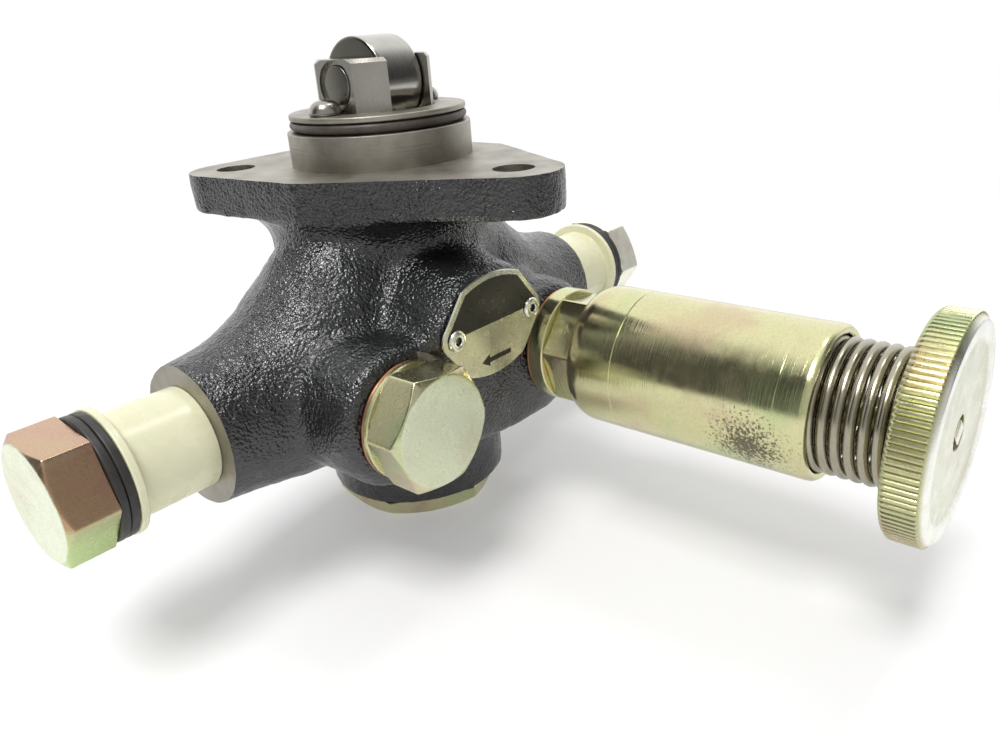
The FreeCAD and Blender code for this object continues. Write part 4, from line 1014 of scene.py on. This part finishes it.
def plate_layer(name, outline, low, high, mat, edge):
    """A flat layer standing on the plate, from one height to another above the casting pad."""
    count = len(outline)
    centre = Vector((sum(p[0] for p in outline) / count, sum(p[1] for p in outline) / count))
    points = []
    for inset, level in ((0.0, low), (0.0, high - edge), (edge, high)):
        for x, z in outline:
            shift = centre - Vector((x, z))
            shift = shift.normalized() * inset if shift.length > inset else shift * 0
            points.append((x + shift.x, z + shift.y, level))
    faces = [tuple(reversed(range(count)))]
    for ring in range(2):
        low, high = ring * count, (ring + 1) * count
        for i in range(count):
            j = (i + 1) % count
            faces.append((low + i, low + j, high + j, high + i))
    faces.append(tuple(2 * count + i for i in range(count)))
    obj = mesh_object(name, points, faces, (PLATE_X, -PLATE_FACE, PLATE_Z), "-y")
    finish_piece(obj, [mat], "name_plate", sharp=30)


def make_plate():
    """Bright sheet with a dark band above and a plain arrow below, held by two tubular rivets."""
    outline = plate_edge()
    plate_layer("plate_sheet", outline, 0.0, 0.45, plate_silver, 0.1)
    inner = [(x * 0.925, z * 0.90) for x, z in outline]
    base = 0.4
    upper = [(x, z) for x, z in inner if z > base]
    upper = [(upper[0][0], base)] + upper + [(upper[-1][0], base)]
    plate_layer("plate_band", upper, 0.40, 0.52, plate_print_and_hole_shade, 0.04)
    arrow = [(-2.2, -8.5), (-2.2, -7.7), (4.4, -7.7), (4.4, -6.7), (-2.2, -6.7), (-2.2, -5.9),
             (-4.6, -7.2)]
    plate_layer("plate_arrow", arrow, 0.40, 0.50, plate_print_and_hole_shade, 0.0)
    for side, word in ((-1, "left"), (1, "right")):
        origin = (PLATE_X + RIVET_HALF * side, -PLATE_FACE, PLATE_Z)
        outline = [(0, -4.0), (1.2, -4.0), (1.2, 0.6), (2.2, 0.6), (2.2, 0.95), (1.9, 1.35),
                   (1.3, 1.5), (0.85, 1.3), (0.8, -0.9), (0, -0.9)]
        name = "plate_rivet_" + word
        rivet = lathe(name, outline, origin, "-y", 0.2, False, 48)
        finish_piece(rivet, [plate_silver, plate_print_and_hole_shade], "plate_rivets")
        # Painted shade: the faces inside the rivet's hollow take the black material, standing for the shade
        # in the hole.
        for face in rivet.data.polygons:
            middle = face.center / MM - Vector(origin)
            if math.hypot(middle.x, middle.z) < 0.84 and middle.y > -1.25:
                face.material_index = 1


def dress_nodes():
    """Gives the CAD nodes that stay their own materials."""
    finishes = {
        "black_casting": black, "ground_steel": steel, "yellow_zinc": zinc,
        "spring_steel": wire_steel, "cream_plastic": cream, "black_rubber": rubber,
        "copper": copper, "aluminium_plate": plate_silver,
    }
    slots = {row["node"]: row["material_slot"] for row in frame["record"]["subparts"]}
    for name, node in frame["nodes"].items():
        node.data.materials.clear()
        node.data.materials.append(tappet_steel if name == "tappet_body" else finishes[slots[name]])


def make_floor():
    """A wide flat pale floor."""
    rings = [(radius, FLOOR_Z) for radius in (0.0, 300.0, 800.0, 3000.0, 5000.0)]
    floor = rings_to_mesh("floor", rings, spread(96), (0, 0, 0), "z")
    floor.data.shade_smooth()
    floor.data.materials.append(floor_material())


def make_world():
    """A room with a bright ceiling and far wall and dark sides, a little brighter in reflections."""
    world = bpy.data.worlds.new("studio")
    bpy.context.scene.world = world
    world.use_nodes = True
    world.node_tree.nodes.clear()
    s = Nodes(world.node_tree, "Generated")
    x, y, z = s.axes()
    ahead = s.math("ADD", s.math("MULTIPLY", x, 0.32), s.math("MULTIPLY", y, 0.385))
    around = s.ramp(s.math("ADD", ahead, 0.5), (0.0, 0.50), (0.22, 0.40), (0.36, 0.03), (0.46, 0.04),
                    (0.575, 0.3), (0.70, 1.0))
    above = s.ramp(z, (0.74, 0.0), (0.80, 0.08), (0.875, 0.22), (0.91, 0.4), (0.945, 0.85), (0.97, 1.0))
    color = s.mix(above, around, (1.0, 1.0, 1.0))
    strength = s.math("ADD", s.math("MULTIPLY", s.seen(), 0.45), 0.85)
    light = s.node("Background", Color=color, Strength=strength)
    out = s.node("OutputWorld")
    s.link(light.outputs[0], out.inputs["Surface"])


def area_light(name, place, target, size, power, color=(1, 1, 1)):
    """Soft lamp at a place in metres that points at a target."""
    data = bpy.data.lights.new(name, "AREA")
    data.shape = "RECTANGLE"
    data.size, data.size_y = size
    data.energy = power
    data.color = color
    lamp = bpy.data.objects.new(name, data)
    lamp.location = place
    lamp.rotation_mode = "QUATERNION"
    lamp.rotation_quaternion = (Vector(target) - Vector(place)).to_track_quat("-Z", "Y")
    bpy.context.scene.collection.objects.link(lamp)


def make_lights():
    middle = (0.0, -0.03, -0.04)
    area_light("window", (-0.89, -0.24, 1.89), middle, (0.8, 0.8), 34.0, (1.0, 0.995, 0.98))
    area_light("side", (0.83, -0.22, 1.92), middle, (0.36, 0.36), 5.0)


def make_camera():
    """The photograph's camera, with its focal length in pixels of a frame 1000 wide."""
    focal, frame_width = 833.8, 1000
    azimuth, elevation, roll = math.radians(-48.15), math.radians(23.38), math.radians(-4.14)
    level = math.cos(elevation)
    back = Vector((math.sin(azimuth) * level, -math.cos(azimuth) * level, math.sin(elevation)))
    right = Vector((math.cos(azimuth), math.sin(azimuth), 0))
    up = back.cross(right)
    right_rolled = right * math.cos(roll) + up * math.sin(roll)
    up_rolled = up * math.cos(roll) - right * math.sin(roll)
    data = bpy.data.cameras.new("photo")
    data.sensor_width = 36.0
    data.lens = focal / frame_width * data.sensor_width
    data.clip_start, data.clip_end = 0.01, 20
    camera = bpy.data.objects.new("photo", data)
    matrix = Matrix((right_rolled, up_rolled, back)).transposed().to_4x4()
    matrix.translation = Vector((-0.1275, -0.1444, 0.0276))
    camera.matrix_world = matrix
    bpy.context.scene.collection.objects.link(camera)
    bpy.context.scene.camera = camera


dress_nodes()
make_housing()
make_ports()
make_plugs()
make_primer()
make_springs()
make_tappet()
make_plate()
make_floor()
make_world()
make_lights()
make_camera()
bpy.context.scene.view_settings.view_transform = "Standard"
